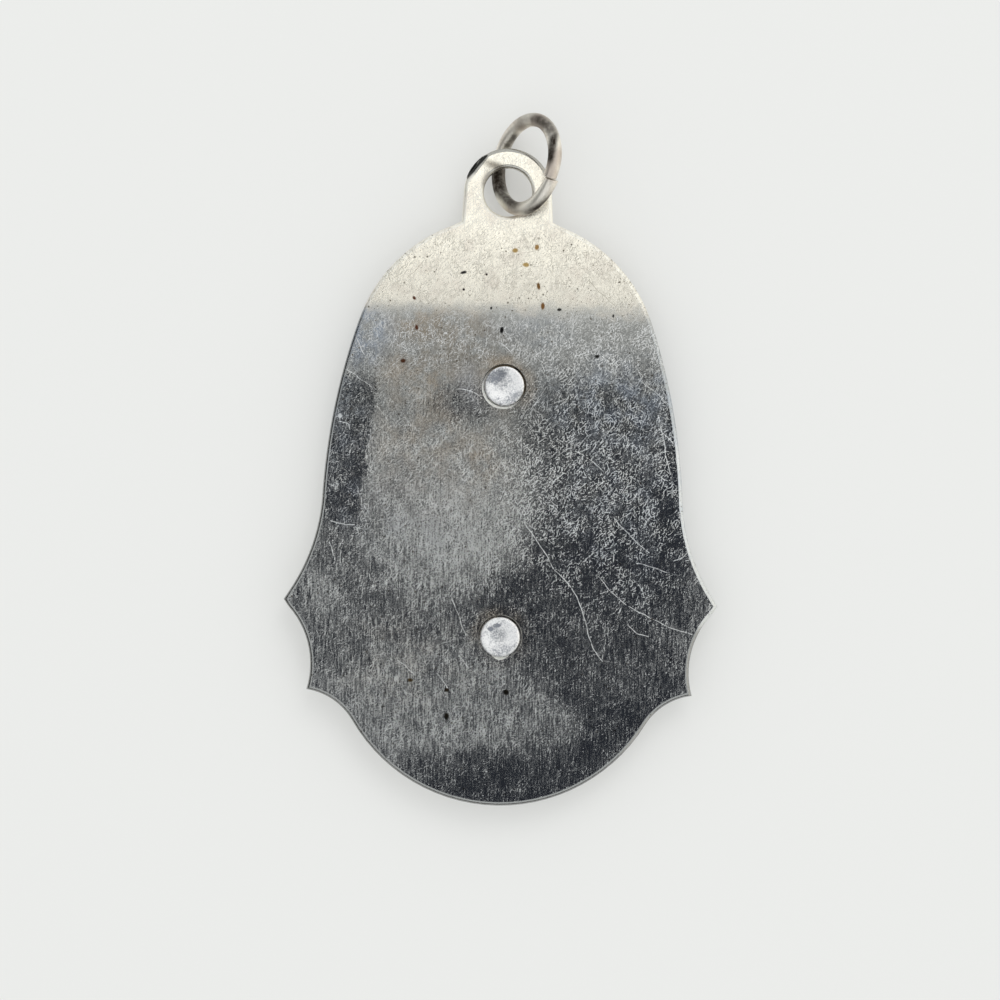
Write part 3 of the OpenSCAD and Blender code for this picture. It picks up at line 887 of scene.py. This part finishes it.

    # the rounded rim: painted shade on the left and below; the right flank and the shoulders are left out of it and
    # stay bright
    normal = place(tree, "ShaderNodeNewGeometry").outputs["Normal"]
    sloped = ramp(tree, vecCalc(tree, "DOT_PRODUCT", normal, (0, 0, 1)), 0.998, 0.985)
    rim = times(tree, sloped, ramp(tree, z, plateLow.z / mm + 0.2, plateLow.z / mm + 0.3))
    flank = times(tree, ramp(tree, x, 7.0, 9.0), ramp(tree, y, -12.0, -11.0))
    shoulder = times(tree, ramp(tree, y, 8.5, 11.0), ramp(tree, y, 20.2, 19.6))
    bare = calc(tree, "MAXIMUM", flank, shoulder)
    eyeHole = vecCalc(tree, "LENGTH", vecCalc(tree, "SUBTRACT", flat, (*backPlate["eye"], 0)))
    paintedRimShade = times(tree, rim, inverse(tree, bare), ramp(tree, eyeHole, 2.2, 2.4, 0.45, 0.62))
    color = blendColor(tree, paintedRimShade, color, backPlate["tarnishAndShade"])
    color = blendColor(tree, seatHighlightMask, color, backPlate["highlightColor"])
    rough = add(tree, rough, times(tree, seatHighlightMask, 0.9), times(tree, rim, bare, 0.3))
    # painted shade at the upper-left rim of the eye hole
    for centre, half, turn, strength in backPlate["eyeShades"]:
        mask = patchMask(tree, wobbly, centre, half, turn, edge=0.7)
        color = blendColor(tree, times(tree, mask, strength), color, backPlate["grimeAndShade"])
    # the ground facet on the eye, near black: painted dark reflection
    facing = vecCalc(tree, "DOT_PRODUCT", vecCalc(tree, "SUBTRACT", inMm, backPlate["facetAt"]),
                     tuple(Vector(backPlate["facetNormal"]).normalized()))
    facetShade = times(tree, ramp(tree, calc(tree, "ABSOLUTE", facing), 0.01, 0.03, 1, 0), ramp(tree, y, 18.0, 18.1))
    setMetal(tree, shader, blendColor(tree, facetShade, color, backPlate["facetShade"]), rough)
    return material


def addBackPlate():
    piece = copyOfNode("back_plate", "backPlate")
    eye = Vector(backPlate["eye"])
    rivets = [Vector(at) for at in backPlate["rivets"]]
    flatAngle = math.radians(0.5)    # faces that meet flatter than this are merged

    def nearEye(point):
        return (point.xy - eye).length < backPlate["eyeReach"]

    def nearRivet(point):
        return min((point.xy - at).length for at in rivets) < backPlate["seatReach"]

    openMesh(piece)
    bpy.ops.mesh.select_all(action="SELECT")
    bpy.ops.mesh.dissolve_limited(angle_limit=flatAngle)
    pickShortEdges(piece, backPlate["shortest"])
    bpy.ops.mesh.merge(type="COLLAPSE")
    bpy.ops.mesh.select_all(action="SELECT")
    bpy.ops.mesh.bisect(plane_co=(0, backPlate["neckAt"] * mm, 0), plane_no=(0, 1, 0))
    pickFaces(piece, lambda point, face: point.y > backPlate["neckAt"])
    bpy.ops.mesh.bisect(plane_co=[c * mm for c in backPlate["facetAt"]], plane_no=backPlate["facetNormal"],
                        clear_outer=True, use_fill=True)
    bpy.ops.mesh.select_all(action="SELECT")
    bpy.ops.mesh.dissolve_limited(angle_limit=flatAngle)
    frontZ, tiny = plateLow.z / mm, 0.01
    stages = [
        ("backRound", backZ, lambda point: not nearEye(point) and not nearRivet(point)),
        ("frontRound", frontZ, lambda point: not nearRivet(point)),
        ("eyeRound", backZ, nearEye),
        ("seatRound", backZ, nearRivet),
    ]
    for setting, level, test in stages:
        found = pickSharpEdges(piece, lambda point, edge: abs(point.z - level) < tiny and test(point))
        bpy.ops.mesh.bevel(offset=backPlate[setting] * mm, segments=4, affect="EDGES", clamp_overlap=False)
        print(setting, "on", found, "edges")
    pickFaces(piece, lambda point, face: abs(face.normal.z) > 0.9999 and not frontZ + tiny < point.z < backZ - tiny)
    bpy.ops.mesh.region_to_loop()
    bpy.ops.mesh.mark_sharp()    # the flats stay flat in shading, up to their rounded rims
    closeMesh()
    fixNormals(piece)
    smoothShading(piece, 32)
    finishPiece(piece, makePlateMetal(), "back_plate")


addBackPlate()
print("back plate made")


# Rivets: peened heads with a shallow dish, and shanks that go through to the casting

rivet = {
    "names": {"rivet_upper": "upperRivet", "rivet_lower": "lowerRivet"},
    "sides": 72,
    "seatDepth": 0.1,            # the head's underside lies this far below the plate's back
    "edgeRound": 0.13,
    "rim": 0.1,
    "dishDepth": 0.13,
    "dishRings": 8,
    "shankRadius": 0.8,
    "peening": 0.035,
    "peenSize": 0.55,
    "metal": (1.0, 1.0, 1.0, 1),
    # dull metal of the mottling, and of the painted dark reflection on the heads
    "dullAndShade": (0.30, 0.315, 0.35, 1),
    "grimeAndShade": (0.09, 0.08, 0.07, 1),
    "roughness": 0.42,
    # dull places on the two heads, partly stains and partly painted dark reflection, mostly on their upper-left
    # sides: centre, half size, turn in degrees and strength
    "stainsAndShades": [
        ((-0.5, 5.85), (0.7, 0.42), -25, 1.3),
        ((0.1, 5.0), (1.1, 0.35), 30, 0.3),
        ((0.6, 4.3), (0.75, 0.3), -30, 0.6),
        ((-0.4, -11.72), (0.62, 0.16), -28, 0.45),
        ((-0.68, -11.86), (0.17, 0.13), 0, 2.2),
        ((-0.2, -11.6), (0.2, 0.12), 0, 1.9),
        ((-0.1, -12.3), (0.55, 0.5), 0, 0.6),
        ((0.25, -13.3), (0.75, 0.35), -10, 0.6),
    ],
}


def makeRivetMetal():
    material, tree, shader, inMm = newMaterial("rivetAluminium")
    x, y, z = split(tree, inMm)
    flat = join(tree, x, y)
    mottle = noise(tree, inMm, 1.6, detail=5, roughness=0.65, distortion=0.3)
    fine = noise(tree, inMm, 9.0, detail=3, roughness=0.7)
    hair = useGroup(tree, wisps, Vector=flat, Scale=3.0, Stretch=3.0, Angle=0.6, Width=0.07, Breaks=0.5)
    nick = useGroup(tree, nicks, Vector=flat, Cells=3.0, Length=0.25, Width=0.035, Share=0.6)
    ragged = vecCalc(tree, "ADD", flat, join(tree, around(tree, fine, 0.3), around(tree, mottle, 0.3)))
    dullAndShade = ramp(tree, mottle, 0.5, 0.75, 0, 0.7)
    for centre, half, turn, strength in rivet["stainsAndShades"]:
        dullAndShade = add(tree, dullAndShade, times(tree, patchMask(tree, ragged, centre, half, turn, edge=0.6), strength))
    dullAndShade = add(tree, times(tree, dullAndShade, add(tree, 0.25, times(tree, fine, 1.3))), around(tree, fine, 2.4))
    dullAndShade = calc(tree, "MAXIMUM", calc(tree, "MINIMUM", dullAndShade, 1.0), 0.0)
    color = blendColor(tree, dullAndShade, rivet["metal"], rivet["dullAndShade"])
    low = ramp(tree, z, backZ, backZ + 0.08, 0.85, 0)    # dirt where the head meets its seat
    rough = add(tree, rivet["roughness"], times(tree, mottle, 0.2), times(tree, hair, 0.1),
                times(tree, nick, 0.12), times(tree, dullAndShade, -0.16))
    setMetal(tree, shader, blendColor(tree, low, color, rivet["grimeAndShade"]), rough)
    setBump(tree, shader, add(tree, mottle, times(tree, fine, 0.3), times(tree, nick, -0.5)), 0.35, 0.02)
    return material


def addRivet(nodeName, material):
    low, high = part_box(nodeName)
    centre = (low + high) / 2
    radius = (high.x - low.x) / 2
    seatZ = (backZ - rivet["seatDepth"]) * mm
    deselectAll()
    bpy.ops.mesh.primitive_cylinder_add(
        vertices=rivet["sides"],
        radius=radius,
        depth=high.z - seatZ,
        location=(centre.x, centre.y, (high.z + seatZ) / 2),
    )
    piece = bpy.context.object
    piece.name = rivet["names"][nodeName]
    applyPlace(piece)
    topZ = high.z / mm

    openMesh(piece)
    pickFaces(piece, lambda point, face: face.normal.z < -0.9)    # the underside, drawn out to the shank
    bpy.ops.mesh.inset(thickness=radius - rivet["shankRadius"] * mm)
    bpy.ops.mesh.extrude_region_move(TRANSFORM_OT_translate={"value": (0, 0, low.z - seatZ)})
    pickSharpEdges(piece, lambda point, edge: point.z > topZ - 0.01)
    bpy.ops.mesh.bevel(offset=rivet["edgeRound"] * mm, segments=5, affect="EDGES")
    pickFaces(piece, lambda point, face: face.normal.z > 0.99 and point.z > topZ - 0.01)
    bpy.ops.mesh.inset(thickness=rivet["rim"] * mm)
    step = (radius / mm - rivet["edgeRound"] - rivet["rim"]) / rivet["dishRings"]
    for ring in range(rivet["dishRings"] - 1):    # the dish, in rings that go down and level out
        turn = math.pi / 2 / rivet["dishRings"]
        drop = rivet["dishDepth"] * (math.sin((ring + 1) * turn) - math.sin(ring * turn))
        bpy.ops.mesh.inset(thickness=step * mm, depth=-drop * mm)
    bpy.ops.mesh.merge(type="CENTER")
    closeMesh()

    # uneven hammering of the head
    group = piece.vertex_groups.new(name="hammered")
    head = [v.index for v in piece.data.vertices if v.co.z / mm > topZ - rivet["edgeRound"] - rivet["dishDepth"]]
    group.add(head, 1.0, "REPLACE")
    texture = bpy.data.textures.new("hammering", "CLOUDS")
    texture.noise_scale = rivet["peenSize"] * mm
    applyModifier(piece, "DISPLACE", texture=texture, strength=rivet["peening"] * mm, mid_level=0.6, direction="Z",
                  texture_coords="LOCAL", vertex_group=group.name)
    piece.vertex_groups.clear()
    fixNormals(piece)
    smoothShading(piece, 40)
    finishPiece(piece, material, nodeName)


rivetMetal = makeRivetMetal()
for name in rivet["names"]:
    addRivet(name, rivetMetal)
print("rivets made")


# Jump ring: round wire bent to a circle, whose cut ends meet a little out of line

ring = {
    "centre": (1.26, 20.642, 3.012),
    "radius": 3.16,
    "wire": 0.48,                # radius
    "tilt": 52.8,                # degrees out of the plate's plane, then turned in it
    "lean": 9,
    "cutAt": -16,                # degrees round the ring
    "gap": 1.4,
    "outOfLine": 0.24,           # how far the two ends miss each other
    "bentEnd": 2.2,              # the length of wire that is out of line
    "sides": 28,
    "steps": 132,
    "endRound": 0.06,
    "metal": (0.95, 0.912, 0.825, 1),
    "tarnishAndShade": (0.60, 0.53, 0.465, 1),
    # dark specks of soot, and the painted shade along the wire
    "sootAndShade": (0.035, 0.026, 0.02, 1),
    "roughness": 0.4,
    # painted shade along the wire, as seen from the back: start, end, bow, width and strength
    "shadeStrokes": [
        ((1.0, 24.1), (3.3, 21.9), 0.5, 0.62, 0.85),
        ((3.2, 23.3), (2.6, 20.0), 0.1, 0.46, 1.0),
        ((-0.85, 21.2), (-0.85, 18.0), -0.1, 1.7, 1.0),
        ((-1.0, 19.2), (1.0, 17.4), -0.1, 0.55, 0.9),
        ((0.7, 16.9), (3.6, 18.85), -0.35, 0.38, 1.0),
        ((-0.45, 21.6), (0.7, 23.1), 0.0, 0.36, 0.85),
        ((0.2, 23.4), (2.4, 24.1), 0.2, 0.8, 0.4),
    ],
}


def makeRingMetal():
    material, tree, shader, inMm = newMaterial("ringMetal")
    stain = noise(tree, inMm, 0.4, detail=2, roughness=0.5)
    fine = noise(tree, inMm, 6.0, detail=4, roughness=0.7)
    worn = ramp(tree, add(tree, stain, around(tree, fine, 0.2)), 0.35, 0.65)
    color = blendColor(tree, worn, ring["metal"], ring["tarnishAndShade"])
    speck = useGroup(tree, specks, Vector=inMm, Cells=3.2, Radius=0.07, Share=0.4)
    color = blendColor(tree, times(tree, speck, 0.7), color, ring["sootAndShade"])
    x, y, z = split(tree, inMm)
    ragged = join(tree, add(tree, x, around(tree, fine, 0.3)), add(tree, y, around(tree, stain, 0.3)))
    # painted shade in strokes along the wire
    strokeShade = 0.0
    for start, finish, bend, width, strength in ring["shadeStrokes"]:
        mask = strokeMask(tree, ragged, start, finish, bend, width, fade=0.3)
        strokeShade = calc(tree, "MAXIMUM", strokeShade, times(tree, mask, strength))
    strokeShade = times(tree, strokeShade, ramp(tree, noise(tree, inMm, 2.2, detail=5, roughness=0.7), 0.3, 0.6, 0.75, 1.0))
    rough = add(tree, ring["roughness"], times(tree, worn, 0.05), times(tree, fine, 0.08), times(tree, strokeShade, 0.15))
    setMetal(tree, shader, blendColor(tree, strokeShade, color, ring["sootAndShade"]), rough)
    setBump(tree, shader, fine, 0.12, 0.01)
    return material


def addJumpRing():
    deselectAll()
    bpy.ops.mesh.primitive_circle_add(
        vertices=ring["sides"],
        radius=ring["wire"] * mm,
        location=(ring["radius"] * mm, 0, 0),
        rotation=(math.radians(90), 0, 0),
    )
    piece = bpy.context.object
    piece.name = "jumpRing"
    applyPlace(piece)
    sweep = math.radians(360 - ring["gap"])
    applyModifier(piece, "SCREW", angle=sweep, steps=ring["steps"], render_steps=ring["steps"], axis="Z",
                  use_merge_vertices=False)
    openMesh(piece, "EDGE")
    bpy.ops.mesh.select_all(action="DESELECT")
    bpy.ops.mesh.select_non_manifold()
    bpy.ops.mesh.fill_holes(sides=0)
    closeMesh()
    fixNormals(piece)
    openMesh(piece, "EDGE")
    pickSharpEdges(piece, lambda point, edge: True, 60)
    bpy.ops.mesh.bevel(offset=ring["endRound"] * mm, segments=3, affect="EDGES")
    closeMesh()

    # both ends are bent out of line, each its own way, fading along the wire
    reach = ring["bentEnd"] / ring["radius"]
    for vertex in piece.data.vertices:
        angle = math.atan2(vertex.co.y, vertex.co.x) % (2 * math.pi)
        away, side = (angle, 0.5) if angle < math.pi else (abs(angle - sweep), -0.5)
        if away < reach:
            vertex.co.z += side * ring["outOfLine"] * mm * (1 - away / reach) ** 2
    piece.data.update()

    piece.matrix_world = (
        Matrix.Translation([c * mm for c in ring["centre"]])
        @ Matrix.Rotation(math.radians(-ring["lean"]), 4, "Z")
        @ Matrix.Rotation(math.radians(-ring["tilt"]), 4, "Y")
        @ Matrix.Rotation(math.radians(ring["cutAt"] + ring["gap"] / 2), 4, "Z")
    )
    applyPlace(piece)
    fixNormals(piece)
    smoothShading(piece, 40)
    finishPiece(piece, makeRingMetal(), "jump_ring")


addJumpRing()
print("jump ring made")


# The praying woman: the casting's rough form, with folds, hair and ornament laid on it and melted into one skin

figure = {
    "depth": 1.5,                # of the relief, from the plate down
    "drawnDepth": 2.3,
    "middleHeight": 24.2577,     # the drawing's heights start at the plate's foot
    "voxel": 0.104,
    "smoothing": 3,
    "silver": (0.79, 0.775, 0.73, 1),
    "worn": (0.60, 0.59, 0.56, 1),
    "oxide": (0.05, 0.047, 0.044, 1),
    "roughness": 0.20,
    "beads": 44,
    "beadRing": 4.68,
    "beadRadius": 0.17,
    "haloHeight": 33.7,
    "haloZ": 0.9,                # where the casting stands out past this Z, it covers the halo
    # lines that stand out, on both sides: points (x from the middle, height), radius at the start and at the end,
    # and how far out
    "lines": {
        "robeFold": [
            ([(0.25, 22.2), (0.45, 18), (0.6, 13), (0.75, 8.5), (0.85, 5.3)], 0.10, 0.22, 0.10),
            ([(0.75, 22.2), (1.15, 18), (1.6, 13), (1.95, 8.5), (2.2, 5.2)], 0.10, 0.24, 0.11),
            ([(1.25, 22.2), (1.85, 18), (2.5, 13), (3.1, 8.5), (3.5, 5.2)], 0.08, 0.22, 0.10),
        ],
        "mantleFold": [
            ([(4.5, 22.6), (4.55, 18), (4.9, 13), (5.4, 8.5), (5.65, 5.2)], 0.12, 0.24, 0.11),
            ([(5.2, 23.2), (5.0, 19), (5.35, 14), (5.8, 9), (6.0, 5.3)], 0.10, 0.2, 0.09),
            ([(3.3, 23.4), (3.35, 22), (3.45, 20.5), (3.6, 19), (3.78, 17.6)], 0.1, 0.08, 0.12),
        ],
        "veilFold": [
            ([(0.7, 36.2), (1.9, 35.3), (2.45, 33.6), (2.6, 31.8), (3.2, 30)], 0.07, 0.16, 0.07),
            ([(1.9, 35.2), (2.3, 34.2), (2.2, 32.4), (2.6, 30.6), (3.3, 28.4)], 0.05, 0.15, 0.07),
            ([(2.9, 31.2), (3.4, 30.2), (3.9, 28.9), (4.3, 27.4), (4.6, 26)], 0.08, 0.16, 0.08),
        ],
        "hair": [
            ([(0.1, 35.45), (0.6, 35.3), (1.1, 34.85), (1.35, 34.2), (1.42, 33.4)], 0.06, 0.08, 0.07),
            ([(0.08, 35.2), (0.5, 35.05), (0.95, 34.65), (1.2, 34.0), (1.28, 33.2)], 0.06, 0.07, 0.06),
            ([(1.42, 33.9), (1.46, 33.2), (1.4, 32.6), (1.25, 32.1), (1.05, 31.7)], 0.07, 0.07, 0.06),
        ],
        "sleeveFold": [
            ([(4.7, 25.8), (4.0, 25.4), (3.2, 25.7), (2.4, 26.4), (1.7, 27.1)], 0.08, 0.10, 0.08),
            ([(4.6, 24.6), (3.9, 24.3), (3.2, 24.6), (2.5, 25.3), (1.9, 26.2)], 0.08, 0.10, 0.08),
            ([(4.2, 23.7), (3.6, 23.2), (3.1, 23.3), (2.6, 23.9), (2.3, 24.8)], 0.08, 0.10, 0.08),
            ([(1.35, 27.3), (1.5, 26.9), (1.55, 26.5), (1.45, 26.1), (1.3, 25.8)], 0.08, 0.08, 0.08),
        ],
        "finger": [
            ([(0.1, 29.6), (0.16, 29), (0.18, 28.4), (0.2, 27.8), (0.24, 27.2)], 0.04, 0.06, 0.035),
            ([(0.34, 29.1), (0.4, 28.6), (0.44, 28.1), (0.48, 27.6), (0.5, 27.1)], 0.04, 0.06, 0.035),
        ],
        "face": [
            ([(0.25, 33.8), (0.4, 33.66), (0.58, 33.6), (0.76, 33.66), (0.9, 33.8)], 0.08, 0.08, 0.08),
            ([(0.14, 34.0), (0.3, 34.24), (0.55, 34.34), (0.8, 34.26), (0.98, 34.05)], 0.08, 0.07, 0.055),
            ([(0.0, 32.66), (0.08, 32.69), (0.16, 32.68), (0.26, 32.64), (0.34, 32.58)], 0.08, 0.06, 0.075),
            ([(0.0, 32.44), (0.06, 32.44), (0.12, 32.45), (0.18, 32.48), (0.24, 32.52)], 0.09, 0.06, 0.075),
        ],
        "plinthEdge": [
            ([(0, 3.25), (1.5, 3.25), (3.1, 3.25), (4.6, 3.25), (5.9, 3.25)], 0.10, 0.10, 0.08),
        ],
    },
    # lines drawn once: the nose, then the belt's knot and its two hanging ends
    "middleLines": [
        ([(0, 34.1), (0, 33.85), (0, 33.6), (0, 33.35), (0, 33.1)], 0.08, 0.14, 0.1),
        ([(0.05, 22.9), (-0.1, 22.2), (-0.35, 21.4), (-0.3, 20.6), (-0.55, 19.8)], 0.14, 0.18, 0.12),
        ([(0.05, 22.9), (0.2, 22.3), (0.25, 21.3), (0.5, 20.3), (0.4, 19.2)], 0.14, 0.19, 0.12),
        ([(-0.3, 22.95), (-0.1, 23.05), (0.05, 23.05), (0.2, 23.0), (0.35, 22.85)], 0.2, 0.2, 0.14),
    ],
}


def figureSurface(base, x, height):
    # the place on the casting's front at this spot of the drawing, in millimetres
    start = Vector((-x, height - figure["middleHeight"], -5)) * mm
    hit, point, normal, index = base.ray_cast(start, Vector((0, 0, 1)))
    if not hit or point.z > figure["depth"] * mm:
        return Vector((start.x / mm, start.y / mm, figure["depth"] - 0.2))
    return point / mm


def addLine(base, points, startRadius, endRadius, proud, side):
    deselectAll()
    bpy.ops.curve.primitive_nurbs_path_add()
    line = bpy.context.object
    spline = line.data.splines[0]
    for index, (x, height) in enumerate(points):
        share = index / (len(points) - 1)
        radius = startRadius + (endRadius - startRadius) * share
        on = figureSurface(base, side * x, height)
        spline.points[index].co = (on.x * mm, on.y * mm, (on.z + radius - proud) * mm, 1)
        spline.points[index].radius = radius
    line.data.bevel_depth = mm
    line.data.bevel_resolution = 2
    line.data.resolution_u = 6
    line.data.use_fill_caps = True
    bpy.ops.object.convert(target="MESH")
    return bpy.context.object


def addBead(on):
    radius = figure["beadRadius"] * mm
    deselectAll()
    bpy.ops.mesh.primitive_uv_sphere_add(segments=14, ring_count=9, radius=radius,
                                         location=(on.x * mm, on.y * mm, on.z * mm + radius * 0.25))
    applyPlace(bpy.context.object)
    return bpy.context.object


def makeCastMetal():
    material, tree, shader, inMm = newMaterial("castSilver")
    hollow = place(tree, "ShaderNodeAttribute", attribute_name="hollows")
    cavity = split(tree, hollow.outputs["Vector"])[0]
    x, y, z = split(tree, inMm)
    mottle = noise(tree, inMm, 1.2, detail=5, roughness=0.65)
    grain = noise(tree, inMm, 11.0, detail=3, roughness=0.7)
    high = ramp(tree, z, 1.05, 0.15)    # the places that stand out most are rubbed bright
    kept = add(tree, cavity, around(tree, mottle, 0.03))
    dirt = ramp(tree, kept, 0.012, 0.052, 0.95, 0)
    color = blendColor(tree, times(tree, high, ramp(tree, mottle, 0.25, 0.6)), figure["worn"], figure["silver"])
    color = blendColor(tree, dirt, color, figure["oxide"])
    rough = add(tree, figure["roughness"], times(tree, dirt, 0.3), times(tree, mottle, 0.14),
                times(tree, grain, 0.08))
    setMetal(tree, shader, color, rough)
    nick = useGroup(tree, nicks, Vector=join(tree, x, y), Cells=1.4, Length=0.5, Width=0.045, Share=0.5)
    setBump(tree, shader, add(tree, times(tree, grain, 0.6), times(tree, nick, -0.6)), 0.4, 0.02)
    return material


def addFigure():
    base = copyOfNode("madonna_figure", "madonnaFigure")
    bpy.context.view_layer.update()
    parts = []
    for lines in figure["lines"].values():
        for points, startRadius, endRadius, proud in lines:
            for side in (1, -1):
                parts.append(addLine(base, points, startRadius, endRadius, proud, side))
    for points, startRadius, endRadius, proud in figure["middleLines"]:
        parts.append(addLine(base, points, startRadius, endRadius, proud, 1))
    for bead in range(figure["beads"]):
        angle = 2 * math.pi * (bead + 0.5) / figure["beads"]
        x, rise = figure["beadRing"] * math.cos(angle), figure["beadRing"] * math.sin(angle)
        on = figureSurface(base, x, figure["haloHeight"] + rise)
        if on.z > figure["haloZ"]:
            parts.append(addBead(on))
    deselectAll()
    for part in parts:
        part.select_set(True)
    base.select_set(True)
    bpy.context.view_layer.objects.active = base
    bpy.ops.object.join()

    base.scale = (1 / mm, 1 / mm, 1 / mm)    # the remesh takes no voxel under 0.1 mm, so it works at 1 unit to the mm
    applyPlace(base)
    applyModifier(base, "REMESH", mode="VOXEL", voxel_size=figure["voxel"], use_smooth_shade=True)
    applyModifier(base, "SMOOTH", factor=0.5, iterations=figure["smoothing"])
    base.scale = (mm, mm, mm)
    applyPlace(base)
    low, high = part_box("madonna_figure")
    for vertex in base.data.vertices:
        vertex.co.z = max(vertex.co.z, low.z)
    fixNormals(base, 0.0005)

    activate(base)
    bpy.ops.geometry.color_attribute_add(name="hollows", domain="POINT", data_type="FLOAT_COLOR", color=(1, 1, 1, 1))
    bpy.ops.object.mode_set(mode="VERTEX_PAINT")
    bpy.ops.paint.vertex_color_dirt(blur_strength=1.0, blur_iterations=2, clean_angle=math.radians(110),
                                    dirt_angle=math.radians(20))
    bpy.ops.object.mode_set(mode="OBJECT")
    bpy.ops.object.shade_smooth()
    finishPiece(base, makeCastMetal(), "madonna_figure")


addFigure()
print("figure made")
